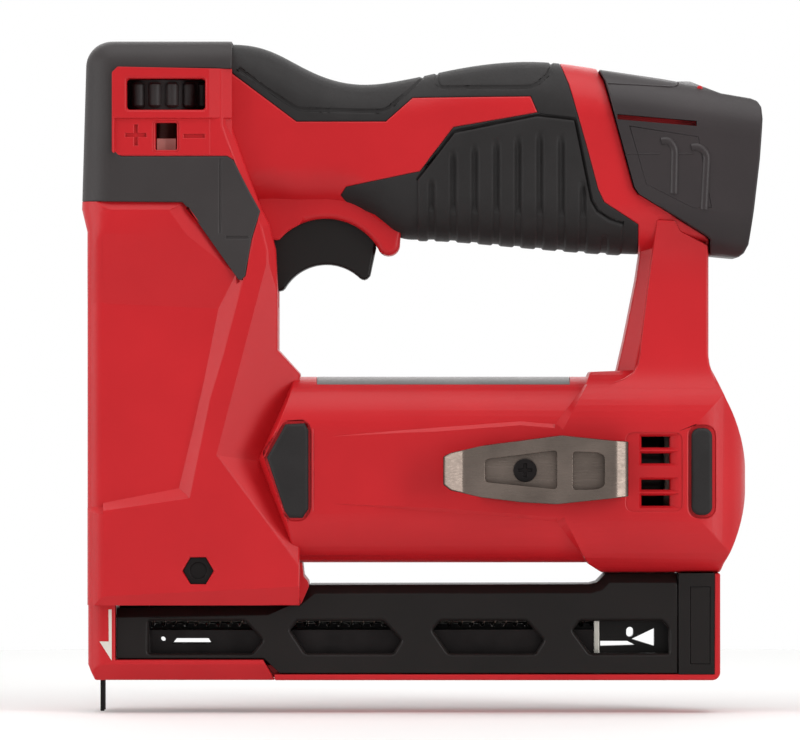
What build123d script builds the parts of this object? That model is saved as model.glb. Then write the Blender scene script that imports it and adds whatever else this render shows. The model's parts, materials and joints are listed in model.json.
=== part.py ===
import os
from math import acos, cos, pi, radians, sin, sqrt, tan

from build123d import *

os.makedirs("parts", exist_ok=True)

# Case. X runs back from the staple line, Z up from the nose face, Y to the tool's right.
nose_front = 4.2        # front face ahead of the staple line
nose_height = 23.4      # underside of the tower over the nose face
nose_half = 16.5
tower_depth = 58.9      # front face to the face behind the trigger
tower_half = 23.0
tower_top = 197.8
tower_corner = 6.0
cap_corner = 9.5
cap_round = 8.0
cap_lip = 1.8           # cap lip ahead of the front face
crease = 2.6            # bevel where the tower meets the handle
hand_reach = 133.3      # tower rear face to the rear leg's rear face
barrel_axis = 65.2
barrel_rise = 28.8
barrel_half = 26.0
barrel_round = 17.0
plate_rise = 1.0        # raised side band over the barrel
leg_half = 15.5
guard_half = 11.5
skin = 2.0              # overmould thickness
wall = 2.4              # case wall under the overmould
fit = 0.3               # gap between loose neighbours
running = 0.06          # radial gap of a running fit
valley = 6.0            # depth of the groove between tower and barrel
panel_depth = 1.2
tower_cavity_half = 19.0
lifter_cavity_half = 12.0
tower_back = 4.0        # tower wall behind the lifter
trigger_seat = 1.2      # trigger front inside the tower's rear face
floor = 3.0             # tower floor over the nose

# Depth of drive setting
guide_x = 18.5
rod_radius = 3.0
wheel_radius = 19.3
wheel_height = 9.2
wheel_ribs = 20
nut_radius = 7.0
tab_width = 5.8

# Striker and lifter
stroke = 22.0
bumper_height = 13.6
striker_height = 20.0
striker_half = 9.0
blade_thick = 1.2
blade_width = 10.4
lift_module = 1.0
lift_count = 20
lift_width = 8.0
lift_x = 37.0
rack_thick = 4.0
spring_wire = 2.6
spring_mean = 8.0
spring_turns = 9

# Gearbox and motor
gear_module = 0.6
sun_count = 12
planet_count = 24
gear_width = 9.0
case_radius = 23.0
ring_radius = 21.4
shaft_radius = 4.0
bearing_radius = 11.0
bearing_width = 7.0
motor_radius = 18.0
motor_length = 57.0
motor_wall = 1.2
motor_shaft = 1.6
fan_radius = 15.0
fan_width = 8.0
fan_gap = 1.5           # motor end to fan

# Magazine
mag_half = 14.5
mag_wall = 2.9
rail_half = 4.5
rail_top = 15.4
rail_wall = 1.3
rod_z = 18.3
feed_rod = 1.1
feed_wire = 0.6
feed_mean = 1.9
feed_turns = 40
base_thick = 1.9
crown = 10.6            # staple width
leg = 10.0              # staple leg length
wire_wide = 1.27
wire_thick = 0.5

# Battery
tilt = 9.0
cell_radius = 9.1
cell_length = 65.0
stem_half = 19.4
stem_rise = 18.6
pack_half = 25.5

# Fasteners
screw_shank = 1.5
screw_head = 2.7
screw_reach = 21.0
screw_seat = 11.0       # head seat beyond the parting plane
insert_radius = 3.5
insert_depth = 4.0
bolt_radius = 2.5
nut_flats = 8.0

# Places that follow from the sizes above
top = tower_top
front = -nose_front
tower_rear = tower_depth - nose_front
leg_x = tower_rear + hand_reach
block_rear = tower_rear + 6.8
block_half = barrel_half + plate_rise
block_rise = barrel_rise + 1.6
block_end = leg_x + 11.5
axis = barrel_axis
floor_top = nose_height + floor
ceiling = top - 4.3
rest_z = floor_top + bumper_height
motor_rear = leg_x - 15.0
motor_front = motor_rear - motor_length
plate_thick = 3.0
ring_length = 20.0
ring_x = motor_front - plate_thick - ring_length
wheel_z = top - 21.2
flange_z = top - 40.8
clip_x = leg_x - 57.0
pivot_x = tower_rear + 3.9
pivot_z = top - 54.6
bolt_x = 30.2
bolt_z = 34.1
stop_x = leg_x - 35.3
cover_end = leg_x - 9.6
ring_count = sun_count + 2 * planet_count
orbit = gear_module * (sun_count + planet_count) / 2
rack_face = lift_module * lift_count / 2
rack_back = rack_face + 1.3 * lift_module + rack_thick
pack_plane = Plane(
    origin=(leg_x + 13.0, 0, top - 42.8), x_dir=(0, 1, 0), z_dir=(cos(radians(tilt)), 0, -sin(radians(tilt)))
)
screw_spots = (
    (tower_rear - 8.7, top - 76.8),
    (tower_rear - 10.7, 31.2),
    (tower_rear + 4.2, top - 27.8),
    (leg_x - 7.5, axis + 50.0),
    (leg_x - 5.0, axis - 26.0),
    (tower_rear + 20.3, axis + barrel_rise - 4.1),
    (leg_x - 62.0, axis + barrel_rise - 4.1),
    (tower_rear + 20.3, axis - barrel_rise + 4.1),
    (leg_x - 62.0, axis - barrel_rise + 4.1),
)


def side_prism(points, start, depth):
    """Outline in side view, from start to start plus depth towards the left."""
    with BuildPart() as prism:
        with BuildSketch(Plane.XZ.offset(start)):
            with BuildLine():
                Polyline(*points, close=True)
            make_face()
        extrude(amount=depth)
    return prism.part


def across(points, half):
    """Outline in side view, right through both halves."""
    return side_prism(points, -half, 2 * half)


def pin(x, z, radius, start, depth):
    """Round bar across the tool, from start to start plus depth towards the left."""
    with BuildPart() as bar:
        with BuildSketch(Plane.XZ.offset(start)):
            with Locations((x, z)):
                Circle(radius)
        extrude(amount=depth)
    return bar.part


def tube(start, length, outer, inner):
    """Round tube about the barrel axis."""
    with BuildPart() as ring:
        with BuildSketch(Plane.YZ.offset(start)):
            with Locations((0, axis)):
                Circle(outer)
                if inner > 0:
                    Circle(inner, mode=Mode.SUBTRACT)
        extrude(amount=length)
    return ring.part


def block(x0, x1, y0, y1, z0, z1):
    """Plain block between two corners."""
    with BuildPart() as box:
        with Locations(((x0 + x1) / 2, (y0 + y1) / 2, (z0 + z1) / 2)):
            Box(x1 - x0, y1 - y0, z1 - z0)
    return box.part


def coil(start, end, radius, wire, turns):
    """Coil spring between two points."""
    way = Vector(*end) - Vector(*start)
    plane = Plane(origin=start, z_dir=way)
    rise = way.length / turns
    slope = rise / (2 * pi * radius)
    spots = []
    for step in range(2 * turns + 1):
        turn = pi * step
        spot = plane.from_local_coords(Vector(radius * cos(turn), radius * sin(turn), rise * step / 2))
        lead = plane.from_local_coords(Vector(-sin(turn), cos(turn), slope)) - plane.origin
        spots.append((spot, lead.normalized()))
    with BuildPart() as spring:
        with BuildLine() as path:
            for (p0, t0), (p1, t1) in zip(spots, spots[1:]):
                gap = p1 - p0
                both = gap.dot(t0 + t1)
                bend = 2 * (1 - t0.dot(t1))
                reach = (sqrt(both * both + bend * gap.dot(gap)) - both) / bend
                mid = (p0 + t0 * reach + p1 - t1 * reach) * 0.5
                TangentArc(p0, mid, tangent=t0)
                TangentArc(mid, p1, tangent=(p1 - t1 * reach - p0 - t0 * reach).normalized())
        with BuildSketch(Plane(origin=spots[0][0], z_dir=spots[0][1])):
            Circle(wire / 2)
        sweep(path=path.line)
    steps = 24
    line = [path.line @ (step / (steps * turns)) for step in range(steps * turns + 1)]
    least = min((q - p).length for p, q in zip(line, line[steps:])) - wire
    print("coil of", turns, "turns, least gap to itself", round(least, 2))
    return spring.part


def tooth_points(count, module, teeth, slack, grow, turn):
    """Gear outline turned by an angle, with teeth where numbered; the rest stays at the root."""
    pitch = module * count / 2
    base = pitch * cos(radians(20))
    root = pitch - (1.25 - grow) * module
    tip = pitch + (0.85 + grow) * module
    flat = pi / (2 * count) - slack / (2 * pitch) + tan(radians(20)) - radians(20)

    def half(radius):
        lean = acos(min(1.0, base / max(radius, base)))
        return flat - tan(lean) + lean

    points = []
    low = max(base, root)
    rise = [low + (tip - low) * k / 3 for k in range(4)]
    for number in range(count):
        mid = 2 * pi * number / count
        if number in teeth:
            points.append((root, mid - half(low)))
            points.extend((radius, mid - half(radius)) for radius in rise)
            points.extend((radius, mid + half(radius)) for radius in reversed(rise))
            points.append((root, mid + half(low)))
        else:
            points.append((root, mid - pi / (2 * count)))
            points.append((root, mid + pi / (2 * count)))
    spots = [(r * cos(a + turn), r * sin(a + turn)) for r, a in points]
    return [p for p, q in zip(spots, spots[1:] + spots[:1]) if abs(p[0] - q[0]) + abs(p[1] - q[1]) > 1e-4]


def gear(x, length, count, module, turn, teeth, slack, y, z, bore):
    """Spur gear along X, centred on y and z, turned by an angle."""
    points = tooth_points(count, module, teeth, slack, 0, turn)
    with BuildPart() as wheel:
        with BuildSketch(Plane.YZ.offset(x)):
            with BuildLine():
                Polyline(*[(y + a, z + b) for a, b in points], close=True)
            make_face()
            if bore > 0:
                with Locations((y, z)):
                    Circle(bore, mode=Mode.SUBTRACT)
        extrude(amount=length)
    return wheel.part


def tower_form(inset):
    """Tower outside, drawn in by inset."""
    back = block_rear + 20
    levels = (
        (nose_height, front, tower_corner),
        (top - 59.0, front, tower_corner),
        (top - 52.0, front - cap_lip, cap_corner),
        (top - inset, front - 0.3, cap_corner),
    )
    with BuildPart() as form:
        for level, face, corner in levels:
            with BuildSketch(Plane.XY.offset(level)):
                with Locations(((face + inset + back) / 2, 0)):
                    RectangleRounded(back - face - inset, 2 * (tower_half - inset), corner - inset)
        loft(ruled=True)
        fillet(form.faces().sort_by(Axis.Z)[-1].edges(), radius=cap_round - inset)
        with BuildSketch(Plane.XZ):
            with BuildLine():
                Polyline(
                    (front - 8, nose_height), (block_rear, nose_height), (block_rear, axis + 29.7),
                    (tower_rear, axis + 37.1), (tower_rear, top - 76.9), (tower_rear - 0.6, top - 64.5),
                    (tower_rear - 2.5, top - 56.7), (tower_rear - 4.9, top - 52.1),
                    (tower_rear - 8.7, top - 42.2), (tower_rear - 11.8, top - 33.5),
                    (tower_rear - 14.6, top - 25.7), (tower_rear - 14.6, top + 1), (front - 8, top + 1),
                    close=True,
                )
            make_face()
        extrude(amount=tower_half + 1, both=True, mode=Mode.INTERSECT)
    return form.part


# Handle sections: place, top and underside below the tower top, half width, corner.
handle_sections = (
    (tower_rear - 16.7, 0.4, 50.8, 17.5, 13.0),
    (tower_rear - 5.6, 1.6, 50.8, 17.5, 13.0),
    (tower_rear + 3.7, 5.6, 50.8, 17.5, 13.0),
    (tower_rear + 13.0, 10.2, 50.8, 17.5, 13.0),
    (tower_rear + 22.3, 12.7, 51.8, 17.8, 13.0),
    (tower_rear + 34.3, 12.4, 58.8, 18.6, 13.0),
    (leg_x - 89.3, 10.6, 61.0, 19.8, 13.5),
    (leg_x - 77.0, 8.1, 61.4, 21.6, 14.0),
    (leg_x - 64.5, 6.4, 62.5, 23.0, 15.0),
    (leg_x - 52.0, 6.1, 63.6, 23.5, 15.5),
    (leg_x - 37.0, 7.8, 64.8, 23.5, 16.0),
    (leg_x - 18.0, 10.8, 65.6, 23.5, 16.0),
    (leg_x + 1.0, 14.8, 66.0, 23.0, 16.0),
)
# Joint between the collar and the battery, from the top down.
joint_line = (
    (leg_x - 34.4, top - 8.7), (leg_x - 32.5, top - 12.4), (leg_x - 23.5, top - 45.3),
    (leg_x - 22.0, top - 47.5),
    (leg_x - 0.9, top - 60.5), (leg_x, top - 61.5),
)


def handle_form(inset):
    """Handle outside, drawn in by inset."""
    with BuildPart() as form:
        for at, drop, sole, half, corner in handle_sections:
            with BuildSketch(Plane.YZ.offset(at)):
                with Locations((0, top - (drop + sole) / 2)):
                    RectangleRounded(2 * (half - inset), sole - drop - 2 * inset, corner - inset)
        loft()
        with BuildSketch(Plane.XZ):
            with BuildLine():
                Polyline(
                    (leg_x - 34.6, top + 5), *joint_line, (leg_x, top - 80), (leg_x + 20, top - 80),
                    (leg_x + 20, top + 5), close=True,
                )
            make_face()
        extrude(amount=tower_half + 10, both=True, mode=Mode.SUBTRACT)
    return form.part


def barrel_form(inset):
    """Barrel outside, drawn in by inset, with an arrow shaped front end."""
    with BuildPart() as form:
        with BuildSketch(Plane.YZ.offset(tower_rear - 8)):
            with Locations((0, axis)):
                RectangleRounded(2 * (barrel_half - inset), 2 * (barrel_rise - inset), barrel_round - inset)
        extrude(amount=block_end - 12 - tower_rear + 8)
        tip = Vector(tower_rear - 4.2, -barrel_half, axis + 4.4)
        sunk = Vector(tower_rear - 6.0, -barrel_half + valley + 3, axis + 3.2)
        for rise in (28.8, -27.0):
            edge = Vector(block_rear, -barrel_half, axis + rise)
            normal = (edge - tip).cross(sunk - tip)
            if normal.X > 0:
                normal = normal * -1
            for mirrored in (1, -1):
                spot = (tip.X, tip.Y * mirrored, tip.Z)
                cut = Plane(origin=spot, z_dir=(normal.X, normal.Y * mirrored, normal.Z))
                split(bisect_by=cut, keep=Keep.BOTTOM)
    return form.part


# Regions of the overmoulds in side view.
cap_region = (
    (front - 8, top - 49.6), (25.3, top - 49.9), (26.8, top - 51.5), (42.6, top - 73.8), (43.6, top - 73.9),
    (44.8, top - 72.6), (46.7, top - 61.4), (49.4, top - 52.7), (46.0, top - 46.5), (41.1, top - 36.9),
    (39.2, top - 35.7), (6.4, top - 35.7), (4.2, top - 33.5), (4.2, top - 11.2), (6.7, top - 8.7),
    (40.3, top - 8.7), (40.3, top + 3), (front - 8, top + 3),
)
grip_region = (
    (tower_rear - 14.4, top + 5), (leg_x - 45.9, top + 5), (leg_x - 45.9, top - 7.1),
    (leg_x - 43.4, top - 13.4),
    (leg_x - 38.1, top - 32.0), (leg_x - 34.4, top - 45.9), (leg_x - 32.5, top - 49.9),
    (leg_x - 22.0, top - 56.7),
    (leg_x - 21.6, top - 72.8), (tower_rear + 37.8, top - 72.8), (tower_rear + 37.8, top - 63.3),
    (tower_rear + 36.3, top - 58.6), (tower_rear + 30.1, top - 53.6), (tower_rear + 21.1, top - 49.6),
    (tower_rear + 19.5, top - 47.5), (tower_rear + 21.1, top - 45.0), (leg_x - 89.3, top - 40.3),
    (leg_x - 79.0, top - 26.7), (leg_x - 53.0, top - 22.3), (leg_x - 55.2, top - 17.2),
    (leg_x - 91.6, top - 17.5),
    (tower_rear + 33.4, top - 24.8), (tower_rear + 5.8, top - 24.8), (tower_rear - 14.4, top - 9.7),
)
rib_region = (
    (leg_x - 89.2, top - 45.0), (leg_x - 86.2, top - 36.6), (leg_x - 77.5, top - 28.2),
    (leg_x - 53.6, top - 24.5),
    (leg_x - 42.8, top - 24.8), (leg_x - 37.5, top - 47.5), (leg_x - 33.5, top - 53.3),
    (leg_x - 22.6, top - 58.0),
    (leg_x - 21.8, top - 72.8), (leg_x - 90.2, top - 72.8),
)
window_shapes = (
    ((14.8, 18.3), (44.5, 18.3), (49.8, 12.4), (46.7, 8.4), (14.7, 8.4)),
    ((58.7, 15.5), (60.6, 18.3), (87.3, 18.3), (92.8, 12.4), (90.4, 8.4), (63.4, 8.4)),
    ((102.8, 15.5), (104.9, 18.3), (131.6, 18.3), (136.9, 12.4), (134.4, 8.4), (107.7, 8.4)),
    (
        (leg_x - 41.8, 15.5), (leg_x - 39.7, 18.3), (leg_x - 14.2, 18.3), (leg_x - 12.4, 16.1),
        (leg_x - 12.4, 8.4),
        (leg_x - 36.6, 8.4),
    ),
)
front_pad = (
    (tower_rear + 2.5, axis + 14.2), (tower_rear + 8.4, axis + 14.5), (tower_rear + 9.6, axis + 12.3),
    (tower_rear + 9.6, axis - 11.9), (tower_rear + 7.8, axis - 14.7), (tower_rear + 3.7, axis - 14.7),
    (tower_rear + 2.2, axis - 12.5), (tower_rear - 3.2, axis + 3.9),
)

tower_full = tower_form(0)
tower_core = tower_form(skin)
handle_full = handle_form(0)
handle_core = handle_form(skin)
handle_hollow = handle_form(skin + wall)
barrel_full = barrel_form(0)
print("forms made")


def facet_cut(hand):
    """Wedge cut off the tower's rear edge above the barrel, on one side."""
    high = Vector(tower_rear - 4.4, -tower_half * hand, top - 72.6)
    mid = Vector(tower_rear - 18.9, -tower_half * hand, axis + 4.6)
    low = Vector(tower_rear + 4.2, -tower_half * hand, axis - 25.8)
    sunk = Vector(tower_rear - 5.6, (-tower_half + valley) * hand, axis + 2.7)
    with BuildPart() as facets:
        with Locations((block_rear, -tower_half * hand, axis + 20)):
            Box(120, 40, 140)
        for a, b in ((high, mid), (mid, low)):
            normal = (b - a).cross(sunk - a)
            if normal.Y * hand > 0:
                normal = normal * -1
            split(bisect_by=Plane(origin=a, z_dir=normal), keep=Keep.TOP)
    return facets.part


def panel_cut():
    """Sunk panel on the tower's left side, with sloping edges."""
    with BuildPart() as panel:
        for depth, side, foot in ((tower_half - panel_depth, 0.0, 0.0), (tower_half + 0.2, 4.6, 2.6)):
            with BuildSketch(Plane.XZ.offset(depth)):
                with BuildLine():
                    Polyline(
                        (front - 6, top - 79.4 + side), (tower_rear - 17.7 + side * 0.9, top - 79.4 + side),
                        (tower_rear - 30.3 + side * 0.8, axis - 5.0 - foot),
                        (front - 6, axis - 12.4 - foot * 0.7), close=True,
                    )
                make_face()
        loft(ruled=True)
    return panel.part


# Tower with its rear bevel, rear facets and sunk side panels.
with BuildPart() as tower:
    add(tower_full)
    bevel = [
        e
        for e in tower.edges()
        if abs(abs(e.center().Y) - tower_half) < 1e-3
        and e.center().X > tower_rear - 15
        and top - 80 < e.center().Z < top - 5
        and abs((e % 0.5).Y) < 1e-6
    ]
    chamfer(bevel, length=crease)
    panel_left = panel_cut()
    add([facet_cut(1), facet_cut(-1), panel_left, panel_left.mirror(Plane.XZ)], mode=Mode.SUBTRACT)

# Rear block with the raised side band.
with BuildPart() as rear_block:
    with BuildSketch(Plane.YZ.offset(tower_rear + 12)):
        with Locations((0, axis)):
            RectangleRounded(2 * block_half, 2 * block_rise + 3.0, barrel_round + 1)
    extrude(amount=block_end - tower_rear - 12)
    with BuildSketch(Plane.XZ):
        with BuildLine():
            Polyline(
                (tower_rear + 13.0, axis + 10.1), (tower_rear + 37.8, axis + 12.3),
                (leg_x - 58.3, axis + 15.1),
                (leg_x - 47.7, axis + 14.2), (leg_x - 38.1, axis + 26.6), (leg_x - 36.6, axis + 30.3),
                (leg_x + 0.6, axis + 31.8), (leg_x + 5.3, axis + 21.6),
            )
            ThreePointArc(
                (leg_x + 5.3, axis + 21.6), (block_end, axis + 0.7), (leg_x + 4.6, axis - 28.9)
            )
            Polyline(
                (leg_x + 4.6, axis - 28.9), (leg_x + 3.7, axis - 31.9),
                (leg_x - 33.0, axis - 31.9), (leg_x - 37.5, axis - 28.9), (leg_x - 47.1, axis - 15.9),
                (leg_x - 58.3, axis - 14.7), (tower_rear + 53.3, axis - 13.1),
                (tower_rear + 17.7, axis - 10.3),
                (tower_rear + 13.0, axis), (tower_rear + 13.0, axis + 10.1),
            )
        make_face()
    extrude(amount=block_half + 1, both=True, mode=Mode.INTERSECT)
    with BuildSketch(Plane.XY):
        with Locations(((tower_rear - 40 + block_end) / 2, 0)):
            RectangleRounded(block_end - tower_rear + 40, 2 * block_half, 16)
    extrude(amount=axis + 60, mode=Mode.INTERSECT)

with BuildPart() as rear_leg:
    with BuildSketch(Plane.XZ):
        with BuildLine():
            Polyline(
                (leg_x - 28.2, axis + 25.0), (leg_x - 28.2, axis + 30.6), (leg_x - 26.0, axis + 40.2),
                (leg_x - 22.3, top - 73.8), (leg_x - 21.1, top - 65.7), (leg_x - 21.5, top - 52.0),
                (leg_x - 14.0, top - 52.6), (leg_x, top - 61.2), (leg_x, axis + 35.6),
                (leg_x + 0.6, axis + 25.0),
                close=True,
            )
        make_face()
    extrude(amount=leg_half, both=True)
    front_edges = [
        e
        for e in rear_leg.edges()
        if abs(abs(e.center().Y) - leg_half) < 1e-3 and e.center().X < leg_x - 20 and abs((e % 0.5).Z) > 0.5
    ]
    chamfer(front_edges, length=5.0, length2=4.0)

with BuildPart() as guard:
    with BuildSketch(Plane.XZ):
        with BuildLine():
            Polyline((tower_rear - 6, top - 40), (tower_rear - 6, top - 61.4),
                (tower_rear + 0.3, top - 61.4))
            ThreePointArc(
                (tower_rear + 0.3, top - 61.4), (tower_rear + 12.4, top - 54.9),
                (tower_rear + 31.0, top - 63.9)
            )
            ThreePointArc(
                (tower_rear + 31.0, top - 63.9), (tower_rear + 34.8, top - 66.2),
                (tower_rear + 37.8, top - 63.0)
            )
            Polyline((tower_rear + 37.8, top - 63.0), (tower_rear + 38.2, top - 57),
                (tower_rear + 34.0, top - 40),
                     (tower_rear - 6, top - 40))
        make_face()
    extrude(amount=guard_half, both=True)

# Nose column and the two lips under the magazine covers.
with BuildPart() as nose:
    with BuildSketch(Plane.XY):
        with Locations(((front + 60) / 2, 0)):
            RectangleRounded(60 - front, 2 * nose_half, tower_corner - 0.5)
    extrude(amount=nose_height + 1)
    with BuildSketch(Plane.XZ):
        with BuildLine():
            Polyline(
                (front + 2.2, 0), (tower_rear - 0.9, 0), (tower_rear - 4.6, 6.4), (4.4, 6.4),
                (4.4, nose_height + 1),
                (front, nose_height + 1), (front, 5.0), close=True,
            )
        make_face()
    extrude(amount=nose_half, both=True, mode=Mode.INTERSECT)
    with BuildSketch(Plane.YZ.offset(front - 1)):
        with BuildLine():
            Polyline((-nose_half + 4, 0), (nose_half - 4, 0), (nose_half, 5.0), (nose_half, 40),
                (-nose_half, 40),
                     (-nose_half, 5.0), close=True)
        make_face()
    extrude(amount=80, mode=Mode.INTERSECT)
    add(block(5.0, 60, -10.2, 10.2, -1, 8), mode=Mode.SUBTRACT)
    add(block(front + 1.1, 6, -8.1, 8.1, -1, nose_height), mode=Mode.SUBTRACT)
print("blocks made")

with BuildPart() as case_outer:
    add([tower.part, barrel_full, rear_block.part, rear_leg.part, handle_full, guard.part, nose.part])
print("case joined", len(case_outer.part.solids()), case_outer.part.is_valid, round(case_outer.part.volume))

# Overmoulds, each as a skin taken out of the case.
with BuildPart() as cap_whole:
    add(tower_full)
    add(tower_core, mode=Mode.SUBTRACT)
    add(across(cap_region, tower_half + 5), mode=Mode.INTERSECT)

with BuildPart() as grip_whole:
    add(handle_full)
    add(handle_core, mode=Mode.SUBTRACT)
    add(across(grip_region, tower_half + 5), mode=Mode.INTERSECT)
    add([guard.part, rear_leg.part, tower_full], mode=Mode.SUBTRACT)

with BuildPart() as plate_whole:
    add(barrel_full)
    add(barrel_form(0.6), mode=Mode.SUBTRACT)
    add(block(tower_rear + 12.1, leg_x - 43.0, -30, 30, axis + barrel_rise - 2.4, axis + 40),
        mode=Mode.INTERSECT)
    add(rear_block.part, mode=Mode.SUBTRACT)

with BuildPart() as front_bumpers:
    for hand in (1, -1):
        pad = side_prism(front_pad, barrel_half - 2.0, 3.2)
        add(pad if hand == 1 else pad.mirror(Plane.XZ))

rear_pad = (leg_x - 2.5, axis - 0.4)
with BuildPart() as rear_bumpers:
    for start, depth in ((block_half - 3.4, 4.2), (-block_half + 3.4, -4.2)):
        with BuildSketch(Plane.XZ.offset(start)):
            with Locations(rear_pad):
                RectangleRounded(6.4, 26.8, 2.6)
        extrude(amount=depth)
print("skins made", cap_whole.part.is_valid, grip_whole.part.is_valid, plate_whole.part.is_valid)

# Hollows: tower, neck, barrel, leg, battery socket, trigger slot, windows and vents.
with BuildPart() as neck_hollow:
    add(handle_hollow)
    add(block(tower_rear - 30, leg_x - 70.0, -40, 40, 0, top + 10), mode=Mode.INTERSECT)
with BuildPart() as socket:
    with BuildSketch(pack_plane.offset(-79.0)):
        RectangleRounded(2 * (stem_half + fit), 2 * (stem_rise + fit), 10 + fit)
    extrude(amount=90)
with BuildPart() as terminal_seat:
    with BuildSketch(pack_plane.offset(-100.0)):
        Rectangle(18.6, 20.6)
    extrude(amount=40)
with BuildPart() as depth_windows:
    for x0, x1, z0, z1, corner in ((8.2, 32.4, 21.4, 11.8, 1.2), (16.9, 23.7, 33.8, 25.4, 0.8)):
        with BuildSketch(Plane.XZ):
            with Locations(((x0 + x1) / 2, top - (z0 + z1) / 2)):
                RectangleRounded(x1 - x0, z0 - z1, corner)
        extrude(amount=tower_half + 2, both=True)
lifter_hollow = (
    (tower_rear - 17.0, floor_top), (tower_rear - tower_back, floor_top),
    (tower_rear - tower_back, top - 67.0),
    (tower_rear - 11.0, top - 46.0), (tower_rear - 17.0, top - 32.0),
)
rack_end = lift_x + lift_width + 0.7
rack_high = axis + 6.5 + stroke + 1.5
tower_hollows = [
    block(front + 2.7, tower_rear - 16.4, -tower_cavity_half, tower_cavity_half, floor_top, ceiling),
    block(tower_rear - 17.0, rack_end, -rack_back - 0.6, rack_back + 0.6, floor_top, rack_high),
    across(lifter_hollow, lifter_cavity_half),
    tube(tower_rear - tower_back - 2.0, tower_back + 5.0, bearing_radius - 1.5, 0),
]
leg_hollow = (
    (leg_x - 20.5, axis + 18.0), (leg_x - 15.5, top - 73.8), (leg_x - 16.5, top - 58.0),
    (leg_x - 6.0, top - 62.0),
    (leg_x - 5.0, axis + 18.0),
)
trigger_slot = (
    (tower_rear - trigger_seat - 0.5, top - 82), (tower_rear - trigger_seat - 0.5, top - 38),
    (tower_rear + 32.5, top - 38),
    (tower_rear + 32.5, top - 82),
)
vent_rows = ((7.0, 10.4), (2.1, 5.2), (-6.0, -2.9), (-11.0, -7.8))
hollows = [
    *tower_hollows, neck_hollow.part, across(leg_hollow, leg_half - 5.0), socket.part,
    tube(tower_rear + 1.8, leg_x - 1.5 - tower_rear - 1.8, case_radius, 0), terminal_seat.part,
    across(trigger_slot, 7.7), depth_windows.part,
    block(-1.5, 1.6, -6.2, 6.2, nose_height - 1, floor_top + 1),
    *[block(leg_x - 21.1, leg_x - 12.4, -40, 40, axis + low, axis + high) for low, high in vent_rows],
]
skins = [cap_whole.part, grip_whole.part, plate_whole.part, front_bumpers.part, rear_bumpers.part]
with BuildPart() as case_body:
    add(case_outer.part)
    add(skins + hollows, mode=Mode.SUBTRACT)
print("case hollowed", len(case_body.part.solids()), case_body.part.is_valid, round(case_body.part.volume))

with BuildPart() as case_inner:
    # Shelves either side of the depth wheel.
    for z0 in (wheel_z - fit - 2.0, wheel_z + wheel_height + fit):
        add(block(front + 5.0, tower_rear - 18.0, -tower_cavity_half - 0.5, tower_cavity_half + 0.5,
            z0, z0 + 2.0))
    # Guides beside the indicator tab.
    for hand in (1, -1):
        y0, y1 = sorted((hand * (tower_cavity_half + 0.5), hand * 13.5))
        for x0 in (20.3 - tab_width / 2 - fit - 2.0, 20.3 + tab_width / 2 + fit):
            add(block(x0, x0 + 2.0, y0, y1, flange_z - 2.0, wheel_z - fit - 1.0))
    # Bearing wall, gearbox seats and motor seats.
    add(tube(tower_rear + 1.8, bearing_width + 1.2, case_radius + 0.5, bearing_radius))
    for at, inner in ((ring_x + 1, ring_radius), (motor_front - 5, ring_radius)):
        add(tube(at, 4.0, case_radius + 0.5, inner))
    for at in (motor_front + 5, motor_rear - 12):
        add(tube(at, 3.0, case_radius + 0.5, motor_radius))
    # Screw posts and the nose bolt post.
    for number, (x, z) in enumerate(screw_spots):
        if number < 4:
            reach = (tower_cavity_half, tower_cavity_half, 14.0, leg_half - 4.5)[number]
            add(pin(x, z, 3.6, -reach - 0.5, 2 * reach + 1.0))
    add(pin(bolt_x, bolt_z, 5.5, -tower_cavity_half - 0.5, 2 * tower_cavity_half + 1))
    # Switch and board supports.
    for hand in (1, -1):
        y0, y1 = sorted((hand * 15.0, hand * 6.55))
        add(block(tower_rear + 11.3, tower_rear + 27.3, y0, y1, top - 44.0, top - 35.0))
        for x0, reach in ((tower_rear + 39.0, 16.6), (tower_rear + 53.0, 18.2)):
            y0, y1 = sorted((hand * reach, hand * 9.5))
            add(block(x0, x0 + 4.0, y0, y1, top - 30.0, top - 26.0))
    # Passages through these.
    with BuildSketch(Plane.XY.offset(wheel_z - 10)):
        with Locations((guide_x, 0)):
            Circle(nut_radius + 1.0)
    extrude(amount=30, mode=Mode.SUBTRACT)

with BuildPart() as rod_seat:
    with BuildSketch(Plane.XY.offset(nose_height + 1.0)):
        with Locations((guide_x, 0)):
            Circle(rod_radius)
    extrude(amount=ceiling + 1.3 - nose_height - 1.0)
with BuildPart() as case_whole:
    add([case_body.part, case_inner.part])
    bores = [
        rod_seat.part, pin(pivot_x, pivot_z, 1.5, -10.5, 21.0),
        pin(bolt_x, bolt_z, bolt_radius + 0.1, -30, 60)
    ]
    add(bores, mode=Mode.SUBTRACT)
print("case ribbed", len(case_whole.part.solids()), case_whole.part.is_valid, round(case_whole.part.volume))

with BuildPart() as nut_pocket:
    with BuildSketch(Plane.XZ.offset(tower_half - 6.0)):
        with Locations((bolt_x, bolt_z)):
            RegularPolygon(nut_flats / 2 + 0.15, 6, major_radius=False)
    extrude(amount=20)
with BuildPart() as housing_left:
    add(case_whole.part)
    split(bisect_by=Plane.XZ, keep=Keep.TOP)
    holes = [pin(x, z, screw_shank, -1, screw_reach - screw_seat + 2) for x, z in screw_spots]
    insert_seat = pin(clip_x, axis, insert_radius, block_half - insert_depth, 10)
    add([*holes, nut_pocket.part, insert_seat], mode=Mode.SUBTRACT)

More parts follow.
